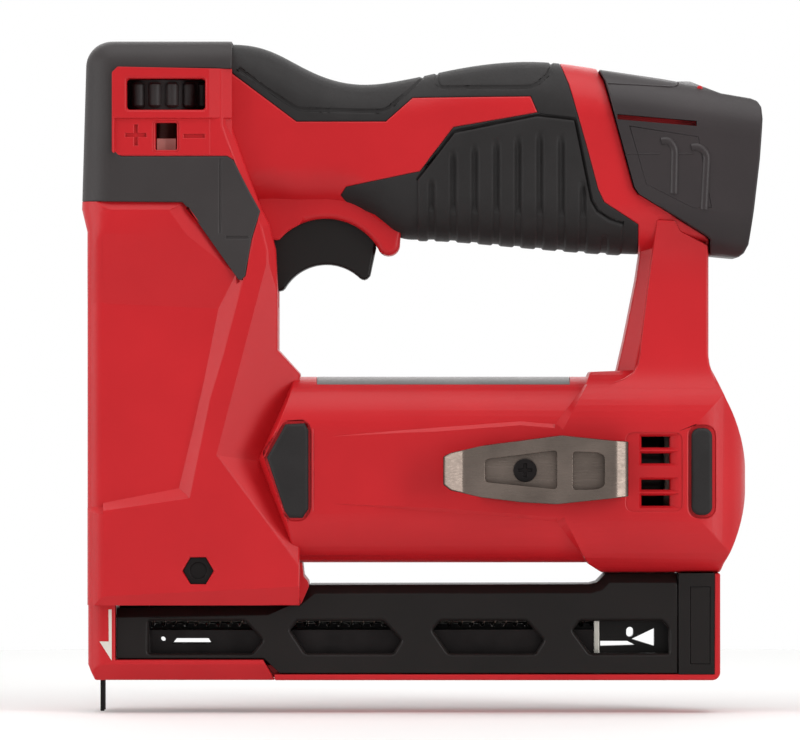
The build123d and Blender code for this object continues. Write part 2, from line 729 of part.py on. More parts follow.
with BuildPart() as housing_right:
    add(case_whole.part)
    split(bisect_by=Plane.XZ, keep=Keep.BOTTOM)
    holes = [pin(x, z, screw_shank + 0.2, -30, 31) for x, z in screw_spots]
    heads = [pin(x, z, screw_head + 0.2, -40, 40 - screw_seat) for x, z in screw_spots]
    bolt_head = pin(bolt_x, bolt_z, 4.3, -40, 40 - tower_half + 6.0)
    insert_seat = pin(clip_x, axis, insert_radius, insert_depth - block_half - 10, 10)
    add([*holes, *heads, bolt_head, insert_seat], mode=Mode.SUBTRACT)
print("halves", len(housing_left.part.solids()), len(housing_right.part.solids()))

nodes = {}


def keep(name, part):
    """Write one node."""
    part.label = name
    export_step(part, f"parts/{name}.step")
    nodes[name] = part


keep("housing_left", housing_left.part)
keep("housing_right", housing_right.part)

# Front caps, bumpers, plate and grips with their ribs and pad lines.
for name, half in (("left", Keep.TOP), ("right", Keep.BOTTOM)):
    with BuildPart() as cap_half:
        add(cap_whole.part)
        split(bisect_by=Plane.XZ, keep=half)
    keep(f"front_cap_{name}", cap_half.part)
keep("front_bumpers", front_bumpers.part)
keep("rear_bumpers", rear_bumpers.part)
keep("barrel_plate", plate_whole.part)

rib_pitch = 6.7
rib_gap = 2.4
rib_depth = 1.1
with BuildPart() as slots:
    for number in range(10):
        x0 = leg_x - 87.0 + number * rib_pitch
        for (a, _, _, near, _), (b, _, _, far, _) in zip(handle_sections, handle_sections[1:]):
            if a <= x0 + rib_gap / 2 < b:
                deep = near + (far - near) * (x0 + rib_gap / 2 - a) / (b - a) - rib_depth
        add(block(x0, x0 + rib_gap, -40, -deep, top - 75, top - 20))
        add(block(x0, x0 + rib_gap, deep, 40, top - 75, top - 20))
    add(across(rib_region, 40), mode=Mode.INTERSECT)
with BuildPart() as grip_cut:
    add(grip_whole.part)
    add(slots.part, mode=Mode.SUBTRACT)
print("grip cut", len(grip_cut.part.solids()), grip_cut.part.is_valid)
for name, half in (("left", Keep.TOP), ("right", Keep.BOTTOM)):
    with BuildPart() as grip_half:
        add(grip_cut.part)
        split(bisect_by=Plane.XZ, keep=half)
    keep(f"grip_{name}", grip_half.part)

# Guide rod, bumper, depth nut and wheel.
with BuildPart() as guide_rod:
    with BuildSketch(Plane.XY.offset(nose_height + 1.0)):
        with Locations((guide_x, 0)):
            Circle(rod_radius)
    extrude(amount=ceiling + 1.2 - nose_height - 1.0)
keep("guide_rod", guide_rod.part)

with BuildPart() as striker_bumper:
    with BuildSketch(Plane.XY.offset(floor_top)):
        with Locations((guide_x, 0)):
            Circle(6.0)
            Circle(rod_radius + 0.1, mode=Mode.SUBTRACT)
    extrude(amount=bumper_height)
keep("striker_bumper", striker_bumper.part)

with BuildPart() as depth_nut:
    with BuildSketch(Plane.XY.offset(flange_z)):
        with Locations((guide_x, 0)):
            Circle(10.5)
    extrude(amount=3.5)
    with BuildSketch(Plane.XY.offset(flange_z)):
        with Locations((guide_x, 0)):
            Circle(nut_radius)
    extrude(amount=33.0)
    for hand in (1, -1):
        y0, y1 = sorted((hand * 8.0, hand * (tower_cavity_half - 0.2)))
        add(block(20.3 - tab_width / 2, 20.3 + tab_width / 2, y0, y1, flange_z, flange_z + 3.5))
        y0, y1 = sorted((hand * (tower_cavity_half - 2.2), hand * (tower_cavity_half - 0.2)))
        add(block(20.3 - tab_width / 2, 20.3 + tab_width / 2, y0, y1, flange_z, flange_z + 10.7))
    with BuildSketch(Plane.XY.offset(flange_z - 1)):
        with Locations((guide_x, 0)):
            Circle(rod_radius + running)
    extrude(amount=40, mode=Mode.SUBTRACT)
keep("depth_nut", depth_nut.part)

with BuildPart() as depth_wheel:
    with BuildSketch(Plane.XY.offset(wheel_z)):
        with Locations((guide_x, 0)):
            Circle(wheel_radius)
            Circle(nut_radius + running, mode=Mode.SUBTRACT)
            with PolarLocations(wheel_radius + 0.4, wheel_ribs):
                Circle(1.5, mode=Mode.SUBTRACT)
    extrude(amount=wheel_height)
keep("depth_wheel", depth_wheel.part)

with BuildPart() as main_spring:
    add(
        coil(
            (guide_x, 0, rest_z + striker_height + spring_wire / 2),
            (guide_x, 0, flange_z - spring_wire / 2 - 0.05),
            spring_mean, spring_wire, spring_turns,
        )
    )
keep("main_spring", main_spring.part)

# Striker with its rack, blade and the staple under it.
tooth_step = pi * lift_module
with BuildPart() as striker:
    add(block(front + 3.1, guide_x + 12.5, -striker_half, striker_half, rest_z + 0.05,
        rest_z + striker_height))
    add(
        block(
            guide_x + 1.5, guide_x + 12.5, 0, rack_back, rest_z + 0.05, rest_z + striker_height
        )
    )
    add(
        block(
            guide_x + 1.5, lift_x + lift_width, rack_face + 1.3 * lift_module, rack_back,
            rest_z + 0.05, axis + 6.5
        )
    )
    with BuildSketch(Plane.YZ.offset(lift_x)):
        for number in range(-7, 2):
            mid = axis + number * tooth_step
            base_half = tooth_step / 4 - 0.08 + 1.35 * lift_module * tan(radians(20))
            tip_half = tooth_step / 4 - 0.08 - 0.85 * lift_module * tan(radians(20))
            with BuildLine():
                Polyline(
                    (rack_face + 1.35 * lift_module, mid - base_half),
                    (rack_face - 0.85 * lift_module, mid - tip_half),
                    (rack_face - 0.85 * lift_module, mid + tip_half),
                    (rack_face + 1.35 * lift_module, mid + base_half),
                    close=True,
                )
            make_face()
    extrude(amount=lift_width)
    with BuildSketch(Plane.XY.offset(rest_z - 1)):
        with Locations((guide_x, 0)):
            Circle(rod_radius + running)
    extrude(amount=striker_height + 5, mode=Mode.SUBTRACT)
    add(
        block(-blade_thick / 2, blade_thick / 2, -blade_width / 2, blade_width / 2, rest_z - 1,
            rest_z + 18.0),
        mode=Mode.SUBTRACT,
    )
keep("striker", striker.part)

with BuildPart() as driver_blade:
    add(block(-blade_thick / 2, blade_thick / 2, -blade_width / 2, blade_width / 2, 0.1, rest_z + 18.0))
keep("driver_blade", driver_blade.part)

with BuildPart() as staple:
    add(block(-wire_wide / 2, wire_wide / 2, -crown / 2, crown / 2, 0.1 - leg, 0.1))
    add(
        block(
            -wire_wide, wire_wide, -crown / 2 + wire_thick, crown / 2 - wire_thick, -leg - 1,
            0.1 - wire_thick
        ),
        mode=Mode.SUBTRACT,
    )
keep("staple", staple.part)

with BuildPart() as nose_guide:
    add(block(front + 1.2, 4.9, -8.0, 8.0, 0, nose_height - 0.1))
    add(block(-0.72, 6, -crown / 2 - 0.2, crown / 2 + 0.2, -1, nose_height + 1), mode=Mode.SUBTRACT)
keep("nose_guide", nose_guide.part)

# Lifter, gearbox and motor.
lift_teeth = [n % lift_count for n in range(-8, 3)]
with BuildPart() as lifter_gear:
    add(
        gear(
            lift_x, lift_width, lift_count, lift_module, pi / lift_count - 2 * pi / lift_count,
            lift_teeth, 0.16,
            0, axis, shaft_radius,
        )
    )
keep("lifter_gear", lifter_gear.part)

gear_x = motor_front - plate_thick - gear_width - 3.0
planet_spots = [(orbit * cos(2 * pi * n / 3), axis + orbit * sin(2 * pi * n / 3)) for n in range(3)]
with BuildPart() as planet_carrier:
    add(tube(lift_x - 0.5, gear_x - 6.0 - lift_x + 0.5, shaft_radius, 0))
    add(tube(gear_x - 6.0, 5.0, orbit + 3.8, 0))
    with BuildSketch(Plane.YZ.offset(gear_x - 1.5)):
        with Locations(*planet_spots):
            Circle(2.0)
    extrude(amount=gear_width + 1.5)
keep("planet_carrier", planet_carrier.part)

for number, (y, z) in enumerate(planet_spots):
    turn = pi / planet_count + 2 * pi * number / 3
    with BuildPart() as planet:
        add(
            gear(
                gear_x, gear_width, planet_count, gear_module, turn, range(planet_count),
                0.12, y, z, 2.0 + running
            )
        )
    keep(f"planet_gear_{number + 1}", planet.part)

ring_points = tooth_points(ring_count, gear_module, range(ring_count), -0.12, 0.4, pi / ring_count)
with BuildPart() as ring_gear:
    with BuildSketch(Plane.YZ.offset(ring_x)):
        with Locations((0, axis)):
            Circle(ring_radius)
        with BuildLine():
            Polyline(*[(a, axis + b) for a, b in ring_points], close=True)
        make_face(mode=Mode.SUBTRACT)
    extrude(amount=ring_length)
keep("ring_gear", ring_gear.part)

with BuildPart() as sun_pinion:
    add(gear(gear_x, gear_width + 1.0, sun_count, gear_module, 0, range(sun_count),
        0.12, 0, axis, motor_shaft))
keep("sun_pinion", sun_pinion.part)

with BuildPart() as front_bearing:
    add(tube(tower_rear + 3.0, bearing_width, bearing_radius, shaft_radius + 0.02))
keep("front_bearing", front_bearing.part)

with BuildPart() as motor_plate:
    add(tube(motor_front - plate_thick, plate_thick, ring_radius, 6.0))
keep("motor_plate", motor_plate.part)

cap_x = motor_rear - 6.0
with BuildPart() as motor_can:
    add(tube(motor_front, cap_x - motor_front, motor_radius, 0))
    add(tube(motor_front + 2.0, motor_length, motor_radius - motor_wall, 0), mode=Mode.SUBTRACT)
    add(tube(motor_front - 1, 5, motor_shaft + running, 0), mode=Mode.SUBTRACT)
keep("motor_can", motor_can.part)

with BuildPart() as motor_magnets:
    add(tube(motor_front + 8.0, 38.0, motor_radius - motor_wall, 13.4))
    add(block(motor_front, motor_rear, -4.5, 4.5, axis - 30, axis + 30), mode=Mode.SUBTRACT)
keep("motor_magnets", motor_magnets.part)

with BuildPart() as motor_cap:
    add(tube(cap_x, 6.0, motor_radius, motor_shaft + running))
    add(tube(cap_x - 4.0, 4.0, motor_radius - motor_wall - 0.05, 13.0))
    add(tube(motor_rear, fan_gap - fit, 12.5, motor_shaft + running))
keep("motor_cap", motor_cap.part)

with BuildPart() as rotor:
    add(tube(gear_x, motor_rear + 10.0 - gear_x, motor_shaft, 0))
    with BuildSketch(Plane.YZ.offset(motor_front + 9.0)):
        with Locations((0, axis)):
            Circle(12.8)
            with PolarLocations(11.0, 5):
                Rectangle(6.0, 1.8, mode=Mode.SUBTRACT)
    extrude(amount=36.0)
    add(tube(motor_front + 45.0, 5.0, 5.0, 0))
keep("rotor", rotor.part)

with BuildPart() as fan:
    add(tube(motor_rear + fan_gap, fan_width, 4.0, motor_shaft))
    add(tube(motor_rear + fan_gap, 1.4, fan_radius, motor_shaft))
    for number in range(9):
        with BuildSketch(Plane.YZ.offset(motor_rear + fan_gap)):
            with Locations((0, axis)):
                with Locations(Location((0, 0), 40.0 * number)):
                    with Locations((9.0, 0)):
                        Rectangle(11.0, 1.2)
        extrude(amount=fan_width)
keep("fan", fan.part)

# Trigger, its pin, the switch and its plunger.
with BuildPart() as trigger:
    with BuildSketch(Plane.XZ):
        with BuildLine():
            Polyline(
                (tower_rear + 25.9, top - 73.8), (tower_rear + 27.7, top - 73.6),
                (tower_rear + 28.6, top - 72.3),
                (tower_rear + 30.4, top - 63.8), (tower_rear + 30.0, top - 57.0),
                (tower_rear + 24.0, top - 51.2),
                (tower_rear + 10.0, top - 50.6), (tower_rear + 2.4, top - 50.6),
                (tower_rear + 0.7, top - 53.5),
                (tower_rear - trigger_seat, top - 58.0), (tower_rear - trigger_seat, top - 77.2),
                (tower_rear + 1.6, top - 77.2),
            )
            ThreePointArc(
                (tower_rear + 1.6, top - 77.2), (tower_rear + 13.0, top - 69.1),
                (tower_rear + 25.9, top - 73.8)
            )
        make_face()
    extrude(amount=7.3, both=True)
    add(pin(pivot_x, pivot_z, 1.5 + running, -20, 40), mode=Mode.SUBTRACT)
keep("trigger", trigger.part)

with BuildPart() as trigger_pin:
    add(pin(pivot_x, pivot_z, 1.5, -10.4, 20.8))
keep("trigger_pin", trigger_pin.part)

plunger_x = tower_rear + 19.0
with BuildPart() as trigger_switch:
    add(block(tower_rear + 9.3, tower_rear + 29.3, -6.5, 6.5, top - 46.0, top - 32.0))
    with BuildSketch(Plane.XY.offset(top - 47.0)):
        with Locations((plunger_x, 0)):
            Circle(2.0 + running)
    extrude(amount=6.0, mode=Mode.SUBTRACT)
    for x0 in (tower_rear + 12.0, tower_rear + 22.0):
        add(block(x0, x0 + 0.8, -2.0, 2.0, top - 32.5, top - 28.0))
keep("trigger_switch", trigger_switch.part)

with BuildPart() as switch_plunger:
    with BuildSketch(Plane.XY.offset(top - 50.6)):
        with Locations((plunger_x, 0)):
            Circle(2.0)
    extrude(amount=5.7)
keep("switch_plunger", switch_plunger.part)

# Control board and terminal block.
with BuildPart() as control_board:
    add(block(tower_rear + 37.0, tower_rear + 60.0, -11.0, 11.0, top - 26.0, top - 24.4))
    for x, y, a, b, h in ((42.0, 3.0, 6.0, 5.0, 4.0), (50.0, -4.0, 5.0, 8.0, 2.0),
        (55.0, 5.0, 4.0, 4.0, 5.0)):
        x0 = tower_rear + x
        add(block(x0 - a / 2, x0 + a / 2, y - b / 2, y + b / 2, top - 24.5, top - 24.4 + h))
keep("control_board", control_board.part)

with BuildPart() as terminal_block:
    with BuildSketch(pack_plane.offset(-86.0)):
        Rectangle(18.4, 20.4)
    extrude(amount=6.8)
    with BuildSketch(pack_plane.offset(-79.3)):
        with Locations((0, 6.0), (0, -6.0)):
            Rectangle(7.0, 0.8)
    extrude(amount=6.0)
keep("terminal_block", terminal_block.part)

# Magazine covers.
roof = 26.6
cover_front = 4.7
cover_side = (
    (cover_front, 6.7), (cover_front, nose_height - 1.1), (block_rear, nose_height - 0.2),
    (block_rear + 0.3, 25.0),
    (block_rear + 3.1, 29.5), (leg_x - 36.6, 29.7), (leg_x - 34.4, 30.3), (leg_x - 31.8, axis - 32.2),
    (cover_end, axis - 32.2), (cover_end, base_thick + fit), (tower_rear + 0.6, base_thick + fit),
    (tower_rear - 4.4, 6.7),
)
cover_roof = (
    (block_rear + 3.1, roof), (block_rear + 3.1, 29.5), (leg_x - 36.6, 29.7), (leg_x - 34.4, 30.3),
    (leg_x - 31.8, axis - 32.2), (cover_end, axis - 32.2), (cover_end, roof),
)
with BuildPart() as cover_left:
    add(side_prism(cover_side, mag_half - mag_wall, mag_wall))
    add(side_prism(cover_roof, 0.02, mag_half - 1.0))
    for shape in window_shapes:
        add(side_prism(shape, mag_half - mag_wall - 1, mag_wall + 2), mode=Mode.SUBTRACT)
keep("magazine_cover_left", cover_left.part)
# The right cover's windows beside the rail end level with it.
with BuildPart() as cover_right:
    mirror(cover_left.part, about=Plane.XZ)
    add(block(14.0, stop_x - 12.0, mag_half - mag_wall, mag_half, rail_top - 0.3, 18.6))
keep("magazine_cover_right", cover_right.part)

# Drawer: base, block with its web, rail, anchor and rod.
with BuildPart() as drawer_base:
    with BuildSketch(Plane.XZ):
        with BuildLine() as edge:
            Polyline(
                (tower_rear - 0.5, 0), (leg_x + 3.7, 0), (leg_x + 3.7, axis - 32.4),
                (leg_x + 1.9, axis - 32.4),
                (leg_x + 1.9, base_thick), (tower_rear - 0.5, base_thick), close=True,
            )
        make_face()
        fillet(vertices().filter_by_position(Axis.X, leg_x + 3.6, leg_x + 3.8).sort_by(Axis.Y)[0],
            radius=2.5)
    extrude(amount=mag_half, both=True)
keep("drawer_base", drawer_base.part)

web = 3.0
with BuildPart() as drawer_block:
    add(block(leg_x - 9.2, leg_x + 1.9, -mag_half, mag_half, base_thick, axis - 32.4))
    add(block(stop_x + 1.8, leg_x - 9.0, -web, web, base_thick, 19.5))
    add(
        across(((leg_x - 33.2, 10.2), (leg_x - 33.2, 11.8), (leg_x - 24.8, 11.8), (leg_x - 22.3, 10.5)),
            web + 1),
        mode=Mode.SUBTRACT,
    )
    add(across(((leg_x - 23.5, 12.4), (leg_x - 16.4, 15.8), (leg_x - 16.4, 10.2)), web + 1),
        mode=Mode.SUBTRACT)
    with BuildSketch(Plane.XZ):
        with Locations(Location((leg_x - 24.0, 14.6), 90)):
            SlotOverall(3.1, 2.2)
    extrude(amount=web + 1, both=True, mode=Mode.SUBTRACT)
    for hand in (1, -1):
        y0, y1 = sorted((hand * (mag_half - 4.0), hand * (mag_half + 1)))
        add(block(leg_x - 5.6, leg_x + 0.6, y0, y1, 5.0, axis - 36.2), mode=Mode.SUBTRACT)
keep("drawer_block", drawer_block.part)

for name, hand in (("left", -1), ("right", 1)):
    y0, y1 = sorted((hand * (mag_half - 2.4), hand * mag_half))
    with BuildPart() as latch:
        add(block(leg_x - 5.3, leg_x + 0.3, y0, y1, 5.3, axis - 36.5))
    keep(f"drawer_latch_{name}", latch.part)

with BuildPart() as core_rail:
    add(block(1.9, stop_x, -rail_half, rail_half, base_thick, rail_top))
    add(
        block(1, stop_x + 1, -rail_half + rail_wall, rail_half - rail_wall, base_thick - 1,
            rail_top - rail_wall),
        mode=Mode.SUBTRACT,
    )
    add(
        across(((23.1, 12.7), (33.0, 12.7), (33.9, 11.2), (21.9, 11.2)), rail_half + 1), mode=Mode.SUBTRACT
    )
    add(pin(18.8, 12.4, 0.8, -rail_half - 1, 2 * rail_half + 2), mode=Mode.SUBTRACT)
keep("core_rail", core_rail.part)

with BuildPart() as spring_anchor:
    add(block(stop_x, stop_x + 1.8, -5.5, 5.5, base_thick, 21.5))
keep("spring_anchor", spring_anchor.part)

with BuildPart() as pusher_rod:
    with BuildSketch(Plane.YZ.offset(3.0)):
        with Locations((0, rod_z)):
            Circle(feed_rod)
    extrude(amount=stop_x - 3.0)
keep("pusher_rod", pusher_rod.part)

with BuildPart() as pusher:
    add(block(1.9, 15.0, -crown / 2, crown / 2, 6.0, rail_top + 0.9))
    add(block(1, 16, -rail_half - 0.12, rail_half + 0.12, 5, rail_top + 0.1), mode=Mode.SUBTRACT)
    add(block(5.5, 15.0, -2.7, 2.7, rail_top + 0.5, 21.2))
    with BuildSketch(Plane.YZ.offset(0)):
        with Locations((0, rod_z)):
            Circle(feed_rod + running)
    extrude(amount=20, mode=Mode.SUBTRACT)
keep("pusher", pusher.part)

with BuildPart() as pusher_spring:
    add(coil((15.4, 0, rod_z), (stop_x - 0.4, 0, rod_z), feed_mean, feed_wire, feed_turns))
keep("pusher_spring", pusher_spring.part)

# Battery pack in its own tilted frame.
cell_spots = ((-cell_radius - 0.15, -8.0), (cell_radius + 0.15, -8.0), (0, 8.0))
gap = 0.35
pack_outline = (
    *[(x + gap, z) for x, z in joint_line], (leg_x + gap, top - 66.2), (leg_x + 9.0, top - 67.0),
    (leg_x + 10.8, top - 65.6), (leg_x + 12.1, top - 63.0), (leg_x + 13.7, top - 52.1),
    (leg_x + 15.5, top - 36.6),
    (leg_x + 16.4, top - 24.2), (leg_x + 16.1, top - 20.5), (leg_x + 15.0, top - 18.6),
    (leg_x + 13.0, top - 17.7),
    (leg_x + 3.7, top - 16.1), (leg_x - 2.5, top - 13.7), (leg_x - 5.6, top - 12.2),
    (leg_x - 9.9, top - 12.4),
    (leg_x - 14.9, top - 11.5),
)
button_side = (
    (leg_x - 24.8, top - 26.4), (leg_x - 3.5, top - 29.8), (leg_x + 0.6, top - 51.6),
    (leg_x - 5.0, top - 51.8),
    (leg_x - 19.6, top - 44.4),
)
with BuildPart() as pack_body:
    with BuildSketch(pack_plane.offset(-54.0)):
        with Locations((0, 0.8)):
            RectangleRounded(2 * pack_half, 53.0, 15.0)
    extrude(amount=60.0)
    add(across(pack_outline, pack_half + 2), mode=Mode.INTERSECT)
    with BuildSketch(pack_plane.offset(-78.0)):
        RectangleRounded(2 * stem_half, 2 * stem_rise, 10.0)
    extrude(amount=50.0)
    with BuildSketch(pack_plane.offset(-79.0)):
        with Locations(*cell_spots):
            Circle(cell_radius + 0.1)
    extrude(amount=cell_length + 6.2, mode=Mode.SUBTRACT)
    with BuildSketch(pack_plane.offset(-79.0)):
        Rectangle(10.0, 16.0)
    extrude(amount=9.0, mode=Mode.SUBTRACT)
    for hand in (1, -1):
        slot = side_prism(button_side, pack_half - 4.4, 10)
        add(slot if hand == 1 else slot.mirror(Plane.XZ), mode=Mode.SUBTRACT)
keep("battery_case", pack_body.part)

with BuildPart() as battery_cells:
    with BuildSketch(pack_plane.offset(-72.9)):
        with Locations(*cell_spots):
            Circle(cell_radius)
    extrude(amount=cell_length)
keep("battery_cells", battery_cells.part)

with BuildPart() as button_left:
    with BuildSketch(Plane.XZ.offset(pack_half - 2.6)):
        with BuildLine():
            Polyline(*button_side, close=True)
        make_face()
        offset(amount=-fit, kind=Kind.INTERSECTION, mode=Mode.REPLACE)
    extrude(amount=2.6)
keep("battery_button_left", button_left.part)
with BuildPart() as button_right:
    mirror(button_left.part, about=Plane.XZ)
keep("battery_button_right", button_right.part)

# Belt clip: a bent strip trimmed to its outline, with its screw and inserts.
strip = 1.3
clip_gap = 11.0
clip_back = -block_half
clip_outline = (
    (clip_x - 25.4, axis + 3.9), (clip_x - 23.0, axis + 5.5), (clip_x - 13.7, axis + 7.6),
    (clip_x - 1.3, axis + 9.2),
    (clip_x + 11.1, axis + 10.8), (clip_x + 27.3, axis + 9.2), (clip_x + 32.0, axis + 8.9),
    (clip_x + 32.0, axis - 7.8), (clip_x + 26.6, axis - 8.5), (clip_x + 9.6, axis - 10.3),
    (clip_x - 1.3, axis - 9.7),
    (clip_x - 13.7, axis - 8.2), (clip_x - 23.0, axis - 6.0), (clip_x - 25.4, axis - 3.8),
)
with BuildPart() as belt_clip:
    with BuildSketch(Plane.XY.offset(axis - 12)):
        with BuildLine():
            Polyline(
                (clip_x - 9.0, clip_back), (clip_x - 9.0, clip_back - strip),
                (clip_x + 28.6, clip_back - strip),
                (clip_x + 30.3, clip_back - strip - 1.7), (clip_x + 30.3, clip_back - clip_gap + 1.7),
                (clip_x + 28.6, clip_back - clip_gap), (clip_x - 19.0, clip_back - clip_gap + 1.6),
                (clip_x - 25.2, clip_back - clip_gap - 1.3), (clip_x - 25.2, clip_back - clip_gap - 2.7),
                (clip_x - 18.7, clip_back - clip_gap + 0.3),
                (clip_x + 29.0, clip_back - clip_gap - strip), (clip_x + 31.6, clip_back - clip_gap + 1.2),
                (clip_x + 31.6, clip_back - 2.6), (clip_x + 29.0, clip_back), close=True,
            )
        make_face()
    extrude(amount=24)
    add(across(clip_outline, 60), mode=Mode.INTERSECT)
    for shape in (
        ((-12.4, 3.4), (9.6, 6.2), (9.6, -5.6), (-12.4, -3.4)),
        ((14.5, 5.8), (22.0, 5.6), (24.2, 4.6), (24.2, -4.6), (22.0, -5.6), (14.5, -5.8)),
    ):
        add(
            side_prism([(clip_x + a, axis + b) for a, b in shape], block_half + strip + 2, 40),
                mode=Mode.SUBTRACT
        )
    add(pin(clip_x, axis, 2.2, 0, 60), mode=Mode.SUBTRACT)
keep("belt_clip", belt_clip.part)

with BuildPart() as clip_screw:
    add(pin(clip_x, axis, 2.0, block_half - insert_depth, insert_depth + strip))
    add(pin(clip_x, axis, 3.6, block_half + strip, 2.2))
    for turn in (0, 90):
        with BuildSketch(Plane.XZ.offset(block_half + strip + 1.0)):
            with Locations(Location((clip_x, axis), turn)):
                Rectangle(4.2, 0.9)
        extrude(amount=3, mode=Mode.SUBTRACT)
keep("clip_screw", clip_screw.part)

with BuildPart() as clip_inserts:
    for hand in (1, -1):
        post = pin(clip_x, axis, insert_radius, block_half - insert_depth, insert_depth)
        bore = pin(clip_x, axis, 2.0, block_half - insert_depth - 1, insert_depth + 2)
        add(post if hand == 1 else post.mirror(Plane.XZ))
        add(bore if hand == 1 else bore.mirror(Plane.XZ), mode=Mode.SUBTRACT)
keep("clip_inserts", clip_inserts.part)

with BuildPart() as case_screws:
    for x, z in screw_spots:
        add(pin(x, z, screw_shank, -screw_seat, screw_reach))
        add(pin(x, z, screw_head, -screw_seat - 2.2, 2.2))
        with BuildSketch(Plane.XZ.offset(-screw_seat - 2.3)):
            with Locations((x, z)):
                RegularPolygon(1.2, 6)
        extrude(amount=1.4, mode=Mode.SUBTRACT)
keep("case_screws", case_screws.part)

with BuildPart() as nose_bolt:
    add(pin(bolt_x, bolt_z, bolt_radius, -tower_half + 6.0, 2 * tower_half - 9.0))
    add(pin(bolt_x, bolt_z, 4.1, -tower_half + 2.4, 3.6))
    with BuildSketch(Plane.XZ.offset(-tower_half + 2.3)):
        with Locations((bolt_x, bolt_z)):
            RegularPolygon(2.2, 6)
    extrude(amount=2.2, mode=Mode.SUBTRACT)
keep("nose_bolt", nose_bolt.part)

with BuildPart() as nose_nut:
    with BuildSketch(Plane.XZ.offset(tower_half - 6.0)):
        with Locations((bolt_x, bolt_z)):
            RegularPolygon(nut_flats / 2, 6, major_radius=False)
            Circle(bolt_radius, mode=Mode.SUBTRACT)
    extrude(amount=4.0)
keep("nose_nut", nose_nut.part)

# Motor leads down the rear leg.
with BuildPart() as motor_leads:
    for y in (-3.0, 3.0):
        with BuildLine() as route:
            FilletPolyline(
                (leg_x - 12.5, y, top - 66.0), (leg_x - 14.5, y, axis + 40.0),
                (leg_x - 17.5, y, axis + 18.5),
                radius=8.0,
            )
        with BuildSketch(Plane(origin=route.line @ 0, z_dir=route.line % 0)):
            Circle(1.0)
        sweep(path=route.line)
keep("motor_leads", motor_leads.part)

print("nodes", len(nodes))
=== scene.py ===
import json
import math
from contextlib import contextmanager

import bmesh
import bpy
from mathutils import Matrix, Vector
from mathutils.bvhtree import BVHTree


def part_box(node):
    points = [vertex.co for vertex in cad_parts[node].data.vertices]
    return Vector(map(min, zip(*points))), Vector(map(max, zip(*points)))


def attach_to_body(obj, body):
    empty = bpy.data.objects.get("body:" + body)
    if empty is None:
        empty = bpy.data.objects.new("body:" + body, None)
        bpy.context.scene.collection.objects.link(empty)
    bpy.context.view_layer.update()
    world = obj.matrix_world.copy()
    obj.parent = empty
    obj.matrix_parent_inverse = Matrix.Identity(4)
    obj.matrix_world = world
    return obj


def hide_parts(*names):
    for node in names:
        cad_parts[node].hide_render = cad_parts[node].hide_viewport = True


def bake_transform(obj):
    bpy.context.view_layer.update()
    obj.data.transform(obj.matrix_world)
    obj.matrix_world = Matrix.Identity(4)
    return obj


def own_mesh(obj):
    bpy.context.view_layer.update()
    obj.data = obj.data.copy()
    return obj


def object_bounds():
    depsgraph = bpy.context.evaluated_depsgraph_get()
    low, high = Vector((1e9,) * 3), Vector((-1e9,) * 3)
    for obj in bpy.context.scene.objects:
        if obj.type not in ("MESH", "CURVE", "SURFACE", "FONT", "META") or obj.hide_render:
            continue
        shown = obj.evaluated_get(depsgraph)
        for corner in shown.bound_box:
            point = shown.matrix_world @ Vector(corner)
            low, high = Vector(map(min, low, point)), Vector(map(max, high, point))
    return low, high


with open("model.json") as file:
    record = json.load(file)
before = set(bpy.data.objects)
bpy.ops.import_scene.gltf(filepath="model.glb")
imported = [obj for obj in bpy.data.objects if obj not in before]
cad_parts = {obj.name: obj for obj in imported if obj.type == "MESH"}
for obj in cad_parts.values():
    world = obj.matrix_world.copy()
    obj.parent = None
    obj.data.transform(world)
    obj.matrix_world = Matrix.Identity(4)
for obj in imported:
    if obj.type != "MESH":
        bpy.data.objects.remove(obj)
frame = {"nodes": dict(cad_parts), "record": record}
cadLow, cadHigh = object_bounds()
nodes = frame["nodes"]
bodyOf = {node: body for body, members in frame["record"]["behaviour"]["bodies"].items() for node in members}
slotOf = {entry["node"]: entry["material_slot"] for entry in frame["record"]["subparts"]}
scene = bpy.context.scene
mm = 0.001
sides = {-1: "left", 1: "right"}  # the photographed side first, then the far one
print("frame loaded,", len(nodes), "nodes")


# Helpers for materials
def linear(hexText):  # sRGB hex to linear colour
    parts = [int(hexText[i:i + 2], 16) / 255 for i in (1, 3, 5)]
    return (*[c / 12.92 if c <= 0.04045 else ((c + 0.055) / 1.055) ** 2.4 for c in parts], 1.0)


def put(tree, kind, settings=None, **sockets):  # adds a node; sockets by name, or by number as in i0
    node = tree.nodes.new(kind)
    for name, value in (settings or {}).items():
        setattr(node, name, value)
    for name, value in sockets.items():
        spaced = name.replace("_", " ")
        socket = node.inputs[int(name[1:])] if name[0] == "i" and name[1:].isdigit() else node.inputs[spaced]
        if isinstance(value, bpy.types.NodeSocket):
            tree.links.new(value, socket)
        else:
            socket.default_value = value
    return node


def newMaterial(name):
    material = bpy.data.materials.new(name)
    material.use_nodes = True
    tree = material.node_tree
    return material, tree, tree.nodes["Principled BSDF"], put(tree, "ShaderNodeTexCoord").outputs["Object"]


grainHeight, glossSpread = 0.04, 0.06  # grain in millimetres, and how uneven the gloss is
sharedLook = {"grainMm": 0.5, "bump": 0.1, "shine": 0.5, "lines": (1, 1, 1)}  # unless a look says otherwise


